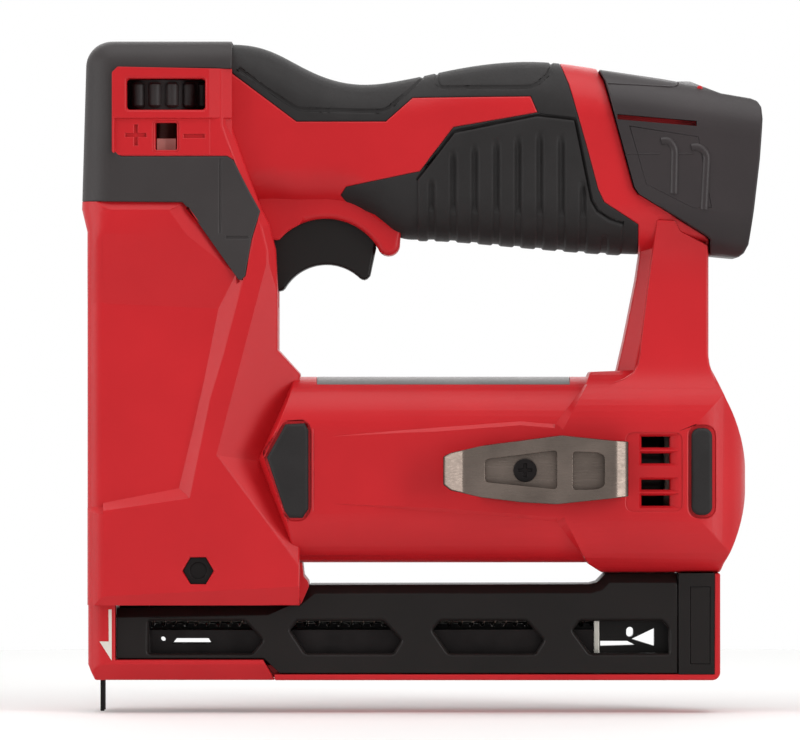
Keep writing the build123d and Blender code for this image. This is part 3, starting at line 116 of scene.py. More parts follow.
def finishOf(look):  # two-tone clouding, uneven gloss and a fine grain that stands up
    look = {**sharedLook, **look}
    material, tree, shader, place = newMaterial(look["name"])
    lay = put(tree, "ShaderNodeMapping", Vector=place, Scale=look["lines"]).outputs["Vector"]
    grain = put(tree, "ShaderNodeTexNoise", Vector=lay, Scale=1 / (look["grainMm"] * mm), Detail=2.0)
    cloud = put(tree, "ShaderNodeTexNoise", Vector=place, Scale=1 / (look["cloudMm"] * mm), Detail=3.0)
    tone = put(tree, "ShaderNodeValToRGB", Fac=cloud.outputs["Fac"])
    for stop, at, colour in zip(tone.color_ramp.elements, (0.3, 0.7), (look["deep"], look["face"])):
        stop.position, stop.color = at, linear(colour)
    rough = put(tree, "ShaderNodeMapRange", Value=grain.outputs["Fac"], From_Min=0.3, From_Max=0.7,
                To_Min=look["rough"] - glossSpread, To_Max=look["rough"] + glossSpread)
    bump = put(tree, "ShaderNodeBump", Height=grain.outputs["Fac"], Strength=look["bump"],
               Distance=grainHeight * mm)
    tree.links.new(tone.outputs["Color"], shader.inputs["Base Color"])
    tree.links.new(rough.outputs["Result"], shader.inputs["Roughness"])
    tree.links.new(bump.outputs["Normal"], shader.inputs["Normal"])
    if "ior" in look:
        shader.inputs["IOR"].default_value = look["ior"]
        shader.inputs["Specular IOR Level"].default_value = look["shine"]
    else:
        shader.inputs["Metallic"].default_value = 1.0
    return material


# Materials, one for each slot of the record; grains under 0.5 mm are drawn coarser so that they show
finishes = {
    "red_nylon": {  # spark-eroded mould: even satin red, broad soft highlights
        "name": "redGlassFilledNylon", "face": "#BE1B22", "deep": "#B5171E", "rough": 0.42,
        "grainMm": 0.6, "cloudMm": 30, "ior": 1.53, "shine": 0.26},
    "black_overmould": {  # soft-touch rubber skin: dull charcoal with a wide sheen
        "name": "blackThermoplasticElastomer", "face": "#353131", "deep": "#2F2B2B", "rough": 0.5,
        "cloudMm": 22, "bump": 0.22, "ior": 1.5, "shine": 0.22},
    "black_nylon": {  # hard black moulding: deep, a little glossier
        "name": "blackGlassFilledNylon", "face": "#1A1615", "deep": "#151211", "rough": 0.38,
        "grainMm": 0.6, "cloudMm": 25, "ior": 1.53, "shine": 0.15},
    "pack_plastic": {  # smooth pack case: clear streaks of light along its shoulder
        "name": "blackPolycarbonateBlend", "face": "#2E2829", "deep": "#282324", "rough": 0.42,
        "grainMm": 0.6, "cloudMm": 25, "bump": 0.08, "ior": 1.56, "shine": 0.22},
    "plain_plate": {  # matt varnished film: flat mid grey
        "name": "greyPolyesterFilm", "face": "#6A6766", "deep": "#5F5C5B", "rough": 0.45, "grainMm": 0.6,
        "cloudMm": 20, "bump": 0.04, "ior": 1.5},
    "white_nylon": {  # natural acetal: warm white, waxy
        "name": "naturalAcetal", "face": "#DDD8CE", "deep": "#D2CCC0", "rough": 0.42, "grainMm": 0.6,
        "cloudMm": 12, "bump": 0.05, "ior": 1.48},
    "pink_tab": {  # tinted acetal: pale, waxy
        "name": "tintedAcetal", "face": "#C4877F", "deep": "#B67971", "rough": 0.42, "cloudMm": 9,
        "bump": 0.05, "ior": 1.48},
    "cell_sleeve": {  # shrunk sleeve: smooth blue film
        "name": "bluePvcSleeve", "face": "#3F6E8C", "deep": "#376280", "rough": 0.3, "grainMm": 0.8,
        "cloudMm": 30, "bump": 0.03, "ior": 1.53},
    "board_green": {  # solder mask over glass cloth: glossy dark green
        "name": "solderMaskedBoard", "face": "#145330", "deep": "#0F4527", "rough": 0.3, "grainMm": 0.9,
        "cloudMm": 6, "bump": 0.08, "ior": 1.55},
    "lead_sleeve": {  # silicone wire sleeve: matt black
        "name": "blackSiliconeSleeve", "face": "#262323", "deep": "#1F1D1D", "rough": 0.5, "cloudMm": 8,
        "bump": 0.06, "ior": 1.41},
    "bumper_rubber": {  # cast polyurethane: dull black
        "name": "castPolyurethane", "face": "#232121", "deep": "#1D1B1B", "rough": 0.6, "cloudMm": 9,
        "bump": 0.15, "ior": 1.5, "shine": 0.2},
    "ferrite": {  # pressed magnet: dark grey ceramic
        "name": "sinteredFerrite", "face": "#3A3A3C", "deep": "#303033", "rough": 0.6, "cloudMm": 10,
        "ior": 2.0},
    "spring_steel": {  # rolled and tumbled strip: warm grey with lines along the strip
        "name": "rolledSpringSteel", "face": "#6E635C", "deep": "#5B524C", "rough": 0.3, "cloudMm": 14,
        "lines": (0.06, 1, 1)},
    "bright_steel": {  # drawn bar: clean grey, fine draw lines
        "name": "brightDrawnSteel", "face": "#B9B5AF", "deep": "#A5A19B", "rough": 0.3, "cloudMm": 16,
        "lines": (0.08, 1, 1), "bump": 0.15},
    "zinc_steel": {  # plated steel: pale, slightly cloudy
        "name": "zincPlatedSteel", "face": "#C2BFB7", "deep": "#A9A69E", "rough": 0.32, "cloudMm": 8},
    "dark_steel": {  # oiled black finish: dark with a faint sheen; on the core rail and the clip screw this dark colour is painted shade
        "name": "blackOxideSteelAndPaintedShade", "face": "#282525", "deep": "#201E1E", "rough": 0.38, "cloudMm": 8},
    "sintered_steel": {  # pressed powder: even grey, faintly open
        "name": "sinteredSteel", "face": "#8B8783", "deep": "#787471", "rough": 0.42, "cloudMm": 10,
        "bump": 0.2},
    "cast_zinc": {  # pressure die casting: soft grey skin
        "name": "dieCastZinc", "face": "#B4B3B0", "deep": "#A3A29F", "rough": 0.45, "grainMm": 0.7,
        "cloudMm": 15, "bump": 0.2},
    "turned_brass": {  # turned bar: yellow, turning lines round the axis
        "name": "turnedBrass", "face": "#C7A354", "deep": "#B08D42", "rough": 0.28, "cloudMm": 8,
        "lines": (1, 0.1, 1), "bump": 0.12},
}
materials = {slot: finishOf(look) for slot, look in finishes.items()}
for nodeName, nodeObject in nodes.items():
    nodeObject.data.materials.clear()
    nodeObject.data.materials.append(materials[slotOf[nodeName]])
print("materials made,", len(materials))


# Helpers for shapes; outlines are side views in millimetres
hair = 0.01  # keeps a cutter's face off the skin that it starts from
nearest = 0.2  # least step along a line on a skin
farOut = 0.1  # metres, outside everything
touching = 1e-5  # metres
seamEdge = 0.12  # easing along the parting plane


def newPiece(name, mesh):
    piece = bpy.data.objects.new(name, mesh)
    scene.collection.objects.link(piece)
    return piece


def pieceFrom(name, bm):
    mesh = bpy.data.meshes.new(name)
    bm.to_mesh(mesh)
    bm.free()
    return newPiece(name, mesh)


def merged(mesh):  # a mesh opened with its doubled points joined
    bm = bmesh.new()
    bm.from_mesh(mesh)
    bmesh.ops.remove_doubles(bm, verts=bm.verts, dist=1e-6)
    return bm


@contextmanager
def opened(piece):  # a piece's mesh, written back at the end
    bm = bmesh.new()
    bm.from_mesh(piece.data)
    yield bm
    bm.to_mesh(piece.data)
    bm.free()


def cutAcross(bm, at, normal, **options):
    bmesh.ops.bisect_plane(bm, geom=bm.verts[:] + bm.edges[:] + bm.faces[:], plane_co=at, plane_no=normal,
                           **options)


def bake(piece):  # puts the modifiers' result into the mesh
    graph = bpy.context.evaluated_depsgraph_get()
    mesh = bpy.data.meshes.new_from_object(piece.evaluated_get(graph))
    piece.modifiers.clear()
    piece.data = mesh
    return piece


def rect(x0, x1, z0, z1):
    return [(x0, z0), (x1, z0), (x1, z1), (x0, z1)]


def spread(outline, by):  # an outline moved outwards all round
    area = sum(x0 * z1 - x1 * z0 for (x0, z0), (x1, z1) in zip(outline, [*outline[1:], outline[0]]))
    turn = math.copysign(by, area)
    moved = []
    for i, here in enumerate(outline):
        a = (Vector(here) - Vector(outline[i - 1])).normalized()
        b = (Vector(outline[(i + 1) % len(outline)]) - Vector(here)).normalized()
        reach = turn / max(0.3, 1 + a.dot(b))
        moved.append((here[0] + (a.y + b.y) * reach, here[1] - (a.x + b.x) * reach))
    return moved


def rounded(outline, radius, steps=4, closed=True):  # an outline with its corners eased
    points = []
    for i, corner in enumerate(outline):
        here = Vector(corner)
        if not closed and i in (0, len(outline) - 1):
            points.append(tuple(here))
            continue
        a, b = Vector(outline[i - 1]) - here, Vector(outline[(i + 1) % len(outline)]) - here
        start = here + a.normalized() * min(radius, 0.48 * a.length)
        end = here + b.normalized() * min(radius, 0.48 * b.length)
        for k in range(steps + 1):
            t = k / steps
            points.append(tuple(start * (1 - t) ** 2 + here * (2 * t * (1 - t)) + end * t ** 2))
    return points


def bridge(rings):  # a closed solid through rings of points in millimetres
    bm = bmesh.new()
    loops = [[bm.verts.new([value * mm for value in point]) for point in ring] for ring in rings]
    bm.faces.new(loops[0])
    bm.faces.new(loops[-1][::-1])
    for near, far in zip(loops, loops[1:]):
        for i in range(len(near)):
            bm.faces.new((near[i - 1], near[i], far[i], far[i - 1]))
    bmesh.ops.recalc_face_normals(bm, faces=bm.faces)
    return bm


def loft(*rings, upright=False):  # a closed solid through (outline, depth) or upright (plan, height) rings
    return bridge([[(a, b, at) if upright else (a, at, b) for a, b in outline] for outline, at in rings])


def plate(outline, near, far):  # an outline drawn straight from one depth to another
    return loft((outline, near), (outline, far))


def circle(x, z, radius, count):
    turns = [math.tau * k / count for k in range(count)]
    return [(x + radius * math.cos(t), z + radius * math.sin(t)) for t in turns]


def within(at, zone):  # whether a point in millimetres lies in a zone of x, distance from the middle, and z
    return all(low < value < high for value, (low, high) in zip((at.x, abs(at.y), at.z), zone))


def between(x, pairs):  # straight-line interpolation in a rising list of pairs
    for (x0, y0), (x1, y1) in zip(pairs, pairs[1:]):
        if x <= x1:
            return y0 + (y1 - y0) * max(0.0, x - x0) / (x1 - x0)
    return pairs[-1][1]


def tubeAlong(points, radius, closed=False):  # a round bar along points in metres
    curve = bpy.data.curves.new("bar", "CURVE")
    curve.dimensions, curve.use_fill_caps = "3D", True
    curve.bevel_depth, curve.bevel_resolution = radius * mm, 2
    spline = curve.splines.new("POLY")
    spline.points.add(len(points) - 1)
    spline.use_cyclic_u = closed
    for place, point in zip(spline.points, points):
        place.co = (*point, 1)
    holder = newPiece("bar", curve)
    mesh = bpy.data.meshes.new_from_object(holder.evaluated_get(bpy.context.evaluated_depsgraph_get()))
    bpy.data.objects.remove(holder)
    bm = merged(mesh)
    bmesh.ops.recalc_face_normals(bm, faces=bm.faces)
    return bm


def hull(points):  # the convex solid round some points in millimetres
    bm = bmesh.new()
    for point in points:
        bm.verts.new([value * mm for value in point])
    made = bmesh.ops.convex_hull(bm, input=bm.verts)
    spare = [item for item in made["geom_interior"] + made["geom_unused"]
             if isinstance(item, bmesh.types.BMVert)]
    bmesh.ops.delete(bm, geom=spare, context="VERTS")
    bmesh.ops.recalc_face_normals(bm, faces=bm.faces)
    return bm


def widen(piece, by):  # pushes a piece's walls outwards in the side view
    with opened(piece) as bm:
        bm.normal_update()
        for vert in bm.verts:
            flat = Vector((vert.normal.x, 0, vert.normal.z))
            if flat.length > 0.2:  # walls only
                vert.co += flat.normalized() * by * mm
    return piece


def product(tree, a, b):
    return put(tree, "ShaderNodeMath", {"operation": "MULTIPLY"}, i0=a, i1=b).outputs["Value"]


def cylinder(tree, count, radius, depth):
    return put(tree, "GeometryNodeMeshCylinder", Vertices=count, Radius=radius, Depth=depth).outputs["Mesh"]


def cone(tree, count, low, high, depth):
    return put(tree, "GeometryNodeMeshCone", Vertices=count, Radius_Bottom=low, Radius_Top=high,
               Depth=depth).outputs["Mesh"]


def raised(tree, geometry, z):  # a geometry moved up
    lift = put(tree, "ShaderNodeCombineXYZ", Z=z).outputs["Vector"]
    return put(tree, "GeometryNodeTransform", Geometry=geometry, Translation=lift).outputs["Geometry"]


def joined(tree, *parts):
    whole = put(tree, "GeometryNodeJoinGeometry")
    for part in parts:
        tree.links.new(part, whole.inputs["Geometry"])
    return whole.outputs["Geometry"]


def grow(name, slot, build, sizes, points=()):  # a mesh grown by a Geometry Nodes tree with named inputs
    tree = bpy.data.node_groups.new(name, "GeometryNodeTree")
    tree.interface.new_socket("Geometry", in_out="OUTPUT", socket_type="NodeSocketGeometry")
    tree.interface.new_socket("Points", in_out="INPUT", socket_type="NodeSocketGeometry")
    kinds = {int: "NodeSocketInt", float: "NodeSocketFloat"}
    keys = {}
    for label, value in sizes.items():
        socket = tree.interface.new_socket(label, in_out="INPUT", socket_type=kinds[type(value)])
        keys[label] = socket.identifier
    given = put(tree, "NodeGroupInput").outputs
    whole = put(tree, "GeometryNodeRealizeInstances", Geometry=build(tree, given))
    skin = put(tree, "GeometryNodeSetMaterial", Geometry=whole.outputs["Geometry"], Material=materials[slot])
    put(tree, "NodeGroupOutput", Geometry=skin.outputs["Geometry"])
    seeds = bpy.data.meshes.new(name)
    seeds.from_pydata([Vector(point) * mm for point in points], [], [])
    piece = newPiece(name, seeds)
    growth = piece.modifiers.new("growth", "NODES")
    growth.node_group = tree
    for label, value in sizes.items():
        growth[keys[label]] = value
    return shade(bake(piece), 35)


def carve(piece, tools):  # cuts a list of solids out of a piece
    cutters = [pieceFrom("cutter", tool) for tool in tools]
    for cutter in cutters:
        cut = piece.modifiers.new("cut", "BOOLEAN")
        cut.object, cut.solver, cut.operation = cutter, "MANIFOLD", "DIFFERENCE"
    bake(piece)
    for cutter in cutters:
        bpy.data.objects.remove(cutter)
    return piece


def treeOf(names):  # CAD nodes as one thing to cast rays at
    points, faces = [], []
    for name in names:
        start = len(points)
        points += [v.co for v in nodes[name].data.vertices]
        faces += [[start + i for i in face.vertices] for face in nodes[name].data.polygons]
    return BVHTree.FromPolygons(points, faces)


def sideHit(tree, side, x, z):  # where a skin is at a point of the side view
    return tree.ray_cast(Vector((x * mm, side * farOut, z * mm)), Vector((0, -side, 0)))[0]


allSolids = treeOf(nodes)
steps3 = (-1, 0, 1)
openWays = [Vector((x, y, z)).normalized() for x in steps3 for y in steps3 for z in steps3 if x or y or z]
probeLift, probeSlope = 0.3, 0.2  # start above the edge, and the least slope of a way out


def showing(edge):  # whether an edge can be seen from outside the object
    normal = (edge.link_faces[0].normal + edge.link_faces[1].normal).normalized()
    start = (edge.verts[0].co + edge.verts[1].co) / 2 + normal * probeLift * mm
    ways = [way for way in openWays if way.dot(normal) > probeSlope]
    return any(allSolids.ray_cast(start, way)[0] is None for way in ways)


def shade(piece, angle=38):  # smooth shading that keeps its flat faces flat
    piece.data.shade_smooth()
    piece.data.set_sharp_from_angle(angle=math.radians(angle))
    piece.modifiers.new("normals", "WEIGHTED_NORMAL").keep_sharp = True
    return bake(piece)


def soften(piece, width, least=30, own=False, crisp=38, rims=()):  # eases the outer sharp edges
    with opened(piece) as bm:
        bmesh.ops.remove_doubles(bm, verts=bm.verts, dist=2e-6)
        zones = [rim["zone"] for rim in rims if "zone" in rim]  # left as cut
        loose = [edge for edge in bm.edges
                 if not any(within(vert.co / mm, zone) for zone in zones for vert in edge.verts)]
        bmesh.ops.dissolve_limit(bm, angle_limit=math.radians(0.08), verts=[], edges=loose)
        keen = [edge for edge in bm.edges if edge.is_manifold and edge.is_convex
                and edge.calc_face_angle() > math.radians(least) and (own or showing(edge))]
        parting = [edge for edge in keen if all(abs(v.co.y) < touching for v in edge.verts)]
        jobs, taken = [], set(parting)
        for rim in rims:
            chosen = [edge for edge in keen if edge not in taken and rim["where"](edge)]
            jobs.append((chosen, rim["width"], rim["steps"]))
            taken.update(chosen)
        jobs += [([edge for edge in keen if edge not in taken], width, 2), (parting, seamEdge, 2)]
        for edges, offset, count in jobs:
            edges = [edge for edge in edges if edge.is_valid]
            if edges and offset:
                bmesh.ops.bevel(bm, geom=edges, offset=offset * mm, segments=count, profile=0.5,
                                affect="EDGES", clamp_overlap=False)
    return shade(piece, crisp)


def camel(node):
    first, *rest = node.split("_")
    return first + "".join(word.capitalize() for word in rest)


def copyOf(node):  # a merged copy of a CAD node's mesh, to be reworked
    return pieceFrom(camel(node), merged(nodes[node].data))


def attach(piece, body, slot):
    piece.data.materials.clear()
    piece.data.materials.append(materials[slot])
    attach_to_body(piece, body)


def settle(piece, node, slot=None):  # the piece stands for a CAD node
    attach(piece, bodyOf[node], slot or slotOf[node])
    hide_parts(node)


# Case halves: sunk tower panel, rounded tower front, slopes at the foot, the nose and the cap, the barrel's
# raised band with its slants, sunk vent panel with flared slots, moats round the bumpers
caseSet = {
    "edge": 0.45, "eased": 28, "crease": 10.5,  # edge width, then the angles for easing and for shading
    "towerSide": 23.0, "blockSide": 27.0, "barrelSide": 26.0, "noseSide": 16.5, "axisZ": 65.2, "clear": 2.0,
    "towerRim": [(-6, 51.6), (27.6, 56.6), (33.8, 86.8), (38.5, 102.3), (48.0, 138.0), (-6, 138.0)],
    "towerFloor": [(-6, 53.7), (24.2, 59.6), (28.5, 77.6), (32.0, 93.0), (36.4, 115.0), (-6, 117.0)],
    "towerDeep": 3.0,
    "frontRound": (5.05, 4.5), "frontCentre": 0.8, "frontOut": (2.5, 3.0),  # radii, centre, margin in plan
    "frontStep": 6,  # degrees
    "frontRings": [(21.0, 23.0, 0.0), (51.6, 23.0, 0.0), (53.7, 20.0, 0.0), (117.0, 20.0, 0.0),
                   (138.5, 23.0, 0.0), (146.5, 23.0, -1.6), (149.0, 23.0, -1.6)],  # height, side, shift
    "capSlopes": [((-6.5, 148.0), (25.4, 148.0), 2.4, 1.2), ((25.4, 148.0), (43.1, 123.4), 5.0, 1.5)],
    "footX": (-6.0, 62.0), "footTop": (25.9, 29.3), "footLow": 17.0, "footDeep": 2.9, "footOut": 0.5,
    "footRise": 2.2,
    "noseEdge": ((56.0, 0.0), (-7.0, 0.0)), "noseBevel": (4.4, 1.6),
    "creases": [((67.0, 75.25), (92.5, 77.5)), ((92.5, 77.5), (129.7, 80.3)),
                ((129.7, 80.3), (140.3, 79.4)), ((140.9, 49.3), (129.7, 50.5)),
                ((129.7, 50.5), (108.0, 52.1)), ((108.0, 52.1), (72.4, 54.9))],
    "creaseSlope": (1.2, 0.92),  # width and depth
    "slants": [((140.3, 79.4), (149.9, 91.8)), ((150.5, 36.3), (140.9, 49.3))],
    "slantWide": 3.0, "slantThin": 0.85, "slantFrom": 14.2, "slantFade": 12.4, "slantSteps": 8,
    "slantLift": 0.05, "slantOut": 31.0,
    "barrelRise": 28.8, "barrelRound": 17.0, "blockRise": 31.9, "blockRound": 18.0,
    "bandFade": (66.0, 104.0, 44.0, 84.0), "fadeSink": 0.06,
    "signPocket": rect(5.2, 33.0, 163.0, 173.0), "pocketDeep": 1.1,
    "ventPanel": rect(162.3, 179.3, 52.7, 76.6), "panelCorner": 2.2, "panelDeep": 0.35, "panelLip": 0.6,
    "panelSlope": 0.3,
    "ventRows": ((7.0, 10.4), (2.1, 5.2), (-6.0, -2.9), (-11.0, -7.8)), "ventX": (166.9, 175.6),
    "ventFlare": 0.7, "ventRamp": 2.3, "ventSteps": (0.05, -1.3, -2.0),
    "rearPad": rect(182.3, 188.7, 51.4, 78.2), "rearPadCorner": 2.6, "moat": 0.9, "moatDeep": 1.3,
    "frontPad": [(57.2, 79.4), (63.1, 79.7), (64.3, 77.5), (64.3, 53.3), (62.5, 50.5), (58.4, 50.5),
                 (56.9, 52.7), (51.3, 69.1)],
    "frontPadCorner": 1.2, "frontMoat": 0.72, "frontMoatFloor": 25.2,
    "guardRim": 1.9, "guardZone": ((60.0, 100.0), (11.45, 11.55), (118.0, 146.0)),
    "bandZone": ((66.0, 153.0), (17.0, 40.0), (34.0, 95.5)),
    "frontZone": ((-10.0, 1.6), (12.0, 40.0), (20.5, 150.0)),
    "footZone": ((-10.0, 250.0), (20.4, 40.0), (22.0, 31.5)),
}


def wedge(start, end, wide, deep, level, side):  # a sloping cut along a line, falling to the line's left
    along = (Vector(end) - Vector(start)).normalized()
    away = Vector((along.y, -along.x))
    past = 0.1  # reach beyond the line
    corners = []
    for point in (Vector(start), Vector(end)):
        for off, height in ((wide, level + hair), (-past, level - deep * (1 + past / wide))):
            at = point + away * off
            corners += [(at.x, side * height, at.y), (at.x, side * (level + caseSet["clear"]), at.y)]
    return hull(corners)


def roundSide(half, rise, radius, z):  # side distance of a rounded rectangle section at a height
    over = abs(z - caseSet["axisZ"]) - (rise - radius)
    return half if over <= 0 else half - radius + math.sqrt(max(0, radius ** 2 - over ** 2))


def slantTool(start, end, side):  # a slope from the block's skin down to the barrel's
    s = caseSet
    along = (end - start).normalized()
    away = Vector((along.y, -along.x))
    rings = []
    for k in range(s["slantSteps"] + 1):
        low = start.lerp(end, k / s["slantSteps"]) - away * s["slantLift"]
        fade = min(1, (abs(low.y - s["axisZ"]) - s["slantFrom"]) / s["slantFade"])
        top = low + away * s["slantWide"] * (1 - s["slantThin"] * fade)  # narrower towards the block's top
        floor = roundSide(s["barrelSide"], s["barrelRise"], s["barrelRound"], low.y) + s["slantLift"]
        skin = roundSide(s["blockSide"], s["blockRise"], s["blockRound"], top.y) + hair
        corners = ((low, floor), (low, s["slantOut"]), (top, s["slantOut"]), (top, skin))
        rings.append([(at.x, side * y, at.y) for at, y in corners])
    return bridge(rings)


def frontPlan(side, edge, shift):  # plan of what the rounded tower front leaves off
    s = caseSet
    long, wide = s["frontRound"]
    centre = s["frontCentre"] + shift
    turns = [math.radians(angle) for angle in range(0, 91, s["frontStep"])]
    line = [(centre - long * math.cos(t), side * (edge + wide * (math.sin(t) - 1))) for t in turns]
    ahead, aside = centre - long - s["frontOut"][0], side * (edge + s["frontOut"][1])
    return line + [(centre, aside), (ahead, aside), (ahead, side * (edge - wide))]


def caseTools(side):
    s = caseSet
    skin, face = s["towerSide"], side * s["blockSide"]
    out, floor = face + side * s["clear"], side * (s["blockSide"] - s["panelDeep"])
    panel = rounded(s["ventPanel"], s["panelCorner"])
    tools = [loft((spread(panel, s["panelLip"]), face + side * s["panelLip"]), (panel, face),
                  (spread(panel, -s["panelSlope"]), floor))]
    for low, high in s["ventRows"]:
        slot = rect(*s["ventX"], s["axisZ"] + low, s["axisZ"] + high)
        wide = spread(slot, s["ventFlare"])
        wide[1:3] = [(x + s["ventRamp"], z) for x, z in wide[1:3]]
        tools.append(loft(*zip((wide, slot, slot), [floor + side * step for step in s["ventSteps"]])))
    pad = spread(rounded(s["rearPad"], s["rearPadCorner"]), s["moat"])
    tools.append(plate(pad, out, face - side * s["moatDeep"]))
    pad = spread(rounded(s["frontPad"], s["frontPadCorner"]), s["frontMoat"])
    tools.append(plate(pad, out, side * s["frontMoatFloor"]))
    tools.append(loft((s["towerRim"], side * (skin + 2 * hair)),
                      (s["towerFloor"], side * (skin - s["towerDeep"]))))
    tools.append(hull([(x, side * (skin + away), z) for x, high in zip(s["footX"], s["footTop"])
                       for away in (s["footOut"], -s["footDeep"])
                       for z in (high + away * s["footRise"], s["footLow"])]))
    tools.append(wedge(*s["noseEdge"], *s["noseBevel"], s["noseSide"], side))
    tools.append(plate(s["signPocket"], side * (skin + s["clear"]), side * (skin - s["pocketDeep"])))
    x0, x1, z0, z1 = s["bandFade"]
    corners = ((x0, s["barrelSide"] - s["fadeSink"]), (x0, s["blockSide"] + 1), (x1, s["blockSide"]),
               (x1, s["blockSide"] + 1))
    tools.append(hull([(x, side * y, z) for z in (z0, z1) for x, y in corners]))
    tools += [wedge(*line, *s["creaseSlope"], s["blockSide"], side) for line in s["creases"]]
    tools += [slantTool(Vector(start), Vector(end), side) for start, end in s["slants"]]
    tools += [wedge(*slope, skin, side) for slope in s["capSlopes"]]
    plans = [(frontPlan(side, edge, shift), z) for z, edge, shift in s["frontRings"]]
    return tools + [loft(*plans, upright=True)]


def onGuard(edge):  # long edges of the trigger guard's rim
    return all(within(vert.co / mm, caseSet["guardZone"]) for vert in edge.verts)


def onBand(edge):  # the barrel's raised band and the rear block's slants
    return any(within(vert.co / mm, caseSet["bandZone"]) for vert in edge.verts)


def onSlope(edge):  # the tower's rounded front and its foot
    zones = (caseSet["frontZone"], caseSet["footZone"])
    return all(any(within(vert.co / mm, zone) for zone in zones) for vert in edge.verts)


caseRims = [{"where": onGuard, "width": caseSet["guardRim"], "steps": 8},
            {"where": onBand, "width": 0, "steps": 1, "zone": caseSet["bandZone"]},  # width 0 stays as cut
            {"where": onSlope, "width": 0, "steps": 1}]
for side, hand in sides.items():
    half = carve(copyOf("housing_" + hand), caseTools(side))
    soften(half, caseSet["edge"], least=caseSet["eased"], crisp=caseSet["crease"], rims=caseRims)
    settle(half, "housing_" + hand)

# Gusset between the tower's foot and the magazine
gussetSet = {
    "outline": [(60.6, 23.5), (61.9, 23.5), (64.3, 29.0), (64.1, 30.4), (62.7, 32.2), (62.2, 36.5),
                (60.6, 36.5)],
    "half": 14.0, "edge": 0.3,
}
gusset = pieceFrom("slotGusset", plate(gussetSet["outline"], -gussetSet["half"], gussetSet["half"]))
attach(soften(gusset, gussetSet["edge"], own=True), "case", "red_nylon")
print("case halves and gusset finished")

# Other moulded and metal pieces that keep the CAD shape, with eased edges
easedEdges = {
    "front_bumpers": 1.1, "rear_bumpers": 1.0, "barrel_plate": 0.15, "trigger": 1.1, "core_rail": 0.25,
    "spring_anchor": 0.25, "pusher": 0.3, "nose_nut": 0.3, "nose_bolt": 0.25, "clip_screw": 0.25,
    "staple": 0.2, "depth_nut": 0.2,
}
# the core rail and the clip screw take dark steel as painted shade for the shade they sit in; the bumpers'
# rubber is their own colour
otherSlot = {"core_rail": "dark_steel", "staple": "dark_steel", "nose_nut": "dark_steel",
             "clip_screw": "dark_steel", "front_bumpers": "bumper_rubber", "rear_bumpers": "bumper_rubber"}
for node, width in easedEdges.items():
    settle(soften(copyOf(node), width), node, otherSlot.get(node))
latchSet = {"wider": 0.2, "edge": 0.08}
for hand in sides.values():
    latch = widen(copyOf("drawer_latch_" + hand), latchSet["wider"])
    settle(soften(latch, latchSet["edge"]), "drawer_latch_" + hand)
print("eased pieces finished,", len(easedEdges) + 2)

# Nose guide: its lower front corner is cut back behind the nose
guideSet = {
    "corner": [(-3.6, 5.3), (-1.5, -0.3), (-1.5, -1.0), (-6.0, -1.0), (-6.0, 5.3)], "half": 9.0, "edge": 0.3,
}
guideCut = plate(guideSet["corner"], -guideSet["half"], guideSet["half"])
settle(soften(carve(copyOf("nose_guide"), [guideCut]), guideSet["edge"]), "nose_guide")

# Drawer: its front and top reach out towards the case, and a toe slopes up to the nose
drawerSet = {
    "front": 0.6, "lift": 0.35, "close": 0.05, "edges": {"drawer_base": 0.5, "drawer_block": 0.12},
    "toe": [(53.75, 0.3), (51.25, 4.6), (55.0, 4.6), (55.0, 0.3)], "toeHalf": 11.0, "toeEdge": 0.15,
}
for node, width in drawerSet["edges"].items():
    piece = copyOf(node)
    low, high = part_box(node)
    close = drawerSet["close"] * mm
    for vert in piece.data.vertices:
        if vert.co.z > high.z - close:
            vert.co.z += drawerSet["lift"] * mm
        if node == "drawer_base" and vert.co.x < low.x + close:
            vert.co.x -= drawerSet["front"] * mm
    settle(soften(piece, width), node)
toe = pieceFrom("drawerToe", plate(drawerSet["toe"], -drawerSet["toeHalf"], drawerSet["toeHalf"]))
attach(soften(toe, drawerSet["toeEdge"], own=True), "drawer", "red_nylon")

# Ribs inside the magazine that stop the light; they are black as painted shade for the dark inside
ribSet = {
    "anchorWeb": {"outline": rect(144.5, 153.0, 15.0, 17.9), "depth": (2.7, 3.9), "body": "drawer"},
    "mouthShadeRib": {"outline": rect(4.9, 14.0, 21.9, 24.4), "depth": (8.5, 11.4), "body": "case"},
}
for name, rib in ribSet.items():
    attach(shade(pieceFrom(name, plate(rib["outline"], *rib["depth"]))), rib["body"], "black_nylon")
print("nose guide, drawer and ribs finished")

# Ribbed inserts of the grips; the grips have a moat along the same outline
insertSet = {
    "outline": [(97.9, 154.6), (99.9, 157.2), (109.4, 169.4), (134.8, 174.5), (146.2, 173.2), (151.2, 148.4),
                (153.2, 145.0), (157.1, 142.4), (161.4, 141.0)],
    "crests": [99.6] + [105.55 + 6.7 * k for k in range(9)] + [160.4],  # between the slots of the skin
    "middleZ": 158.0, "outside": 34.0, "angleFrom": 40, "angleStep": 2,  # degrees round the middle line
    "valleyStart": 102.3, "pitch": 6.68, "valleys": 9, "valleyWide": 1.6, "valleyDeep": 1.35,
    "valleyDrop": 5.0, "valleyFade": 3.0, "proud": 0.55, "sunk": 0.4, "thick": 1.2,
    "columns": 0.34, "rows": 56, "margin": 1.3, "lastGap": 0.3,
    "easing": (0.0, 0.15, 0.35, 0.65, 1.0),  # close steps where the border rounds over
}

# Grips: pad lines cut along the palm, over the top and down the far side
gripSet = {
    "edge": 0.35, "line": 0.5, "step": 1.2, "corner": 2.5, "moat": 0.7,
    "palmPad": [(42.6, 189.4), (49.1, 184.4), (60.6, 176.7), (87.9, 176.1), (95.6, 182.9), (99.4, 186.6)],
    "rearPad": [(103.9, 186.6), (104.4, 184.0), (105.4, 183.5), (133.8, 183.5), (138.4, 187.6),
                (139.3, 189.7)],
}
handleSkin = treeOf([part + hand for part in ("grip_", "housing_", "front_cap_") for hand in sides.values()])


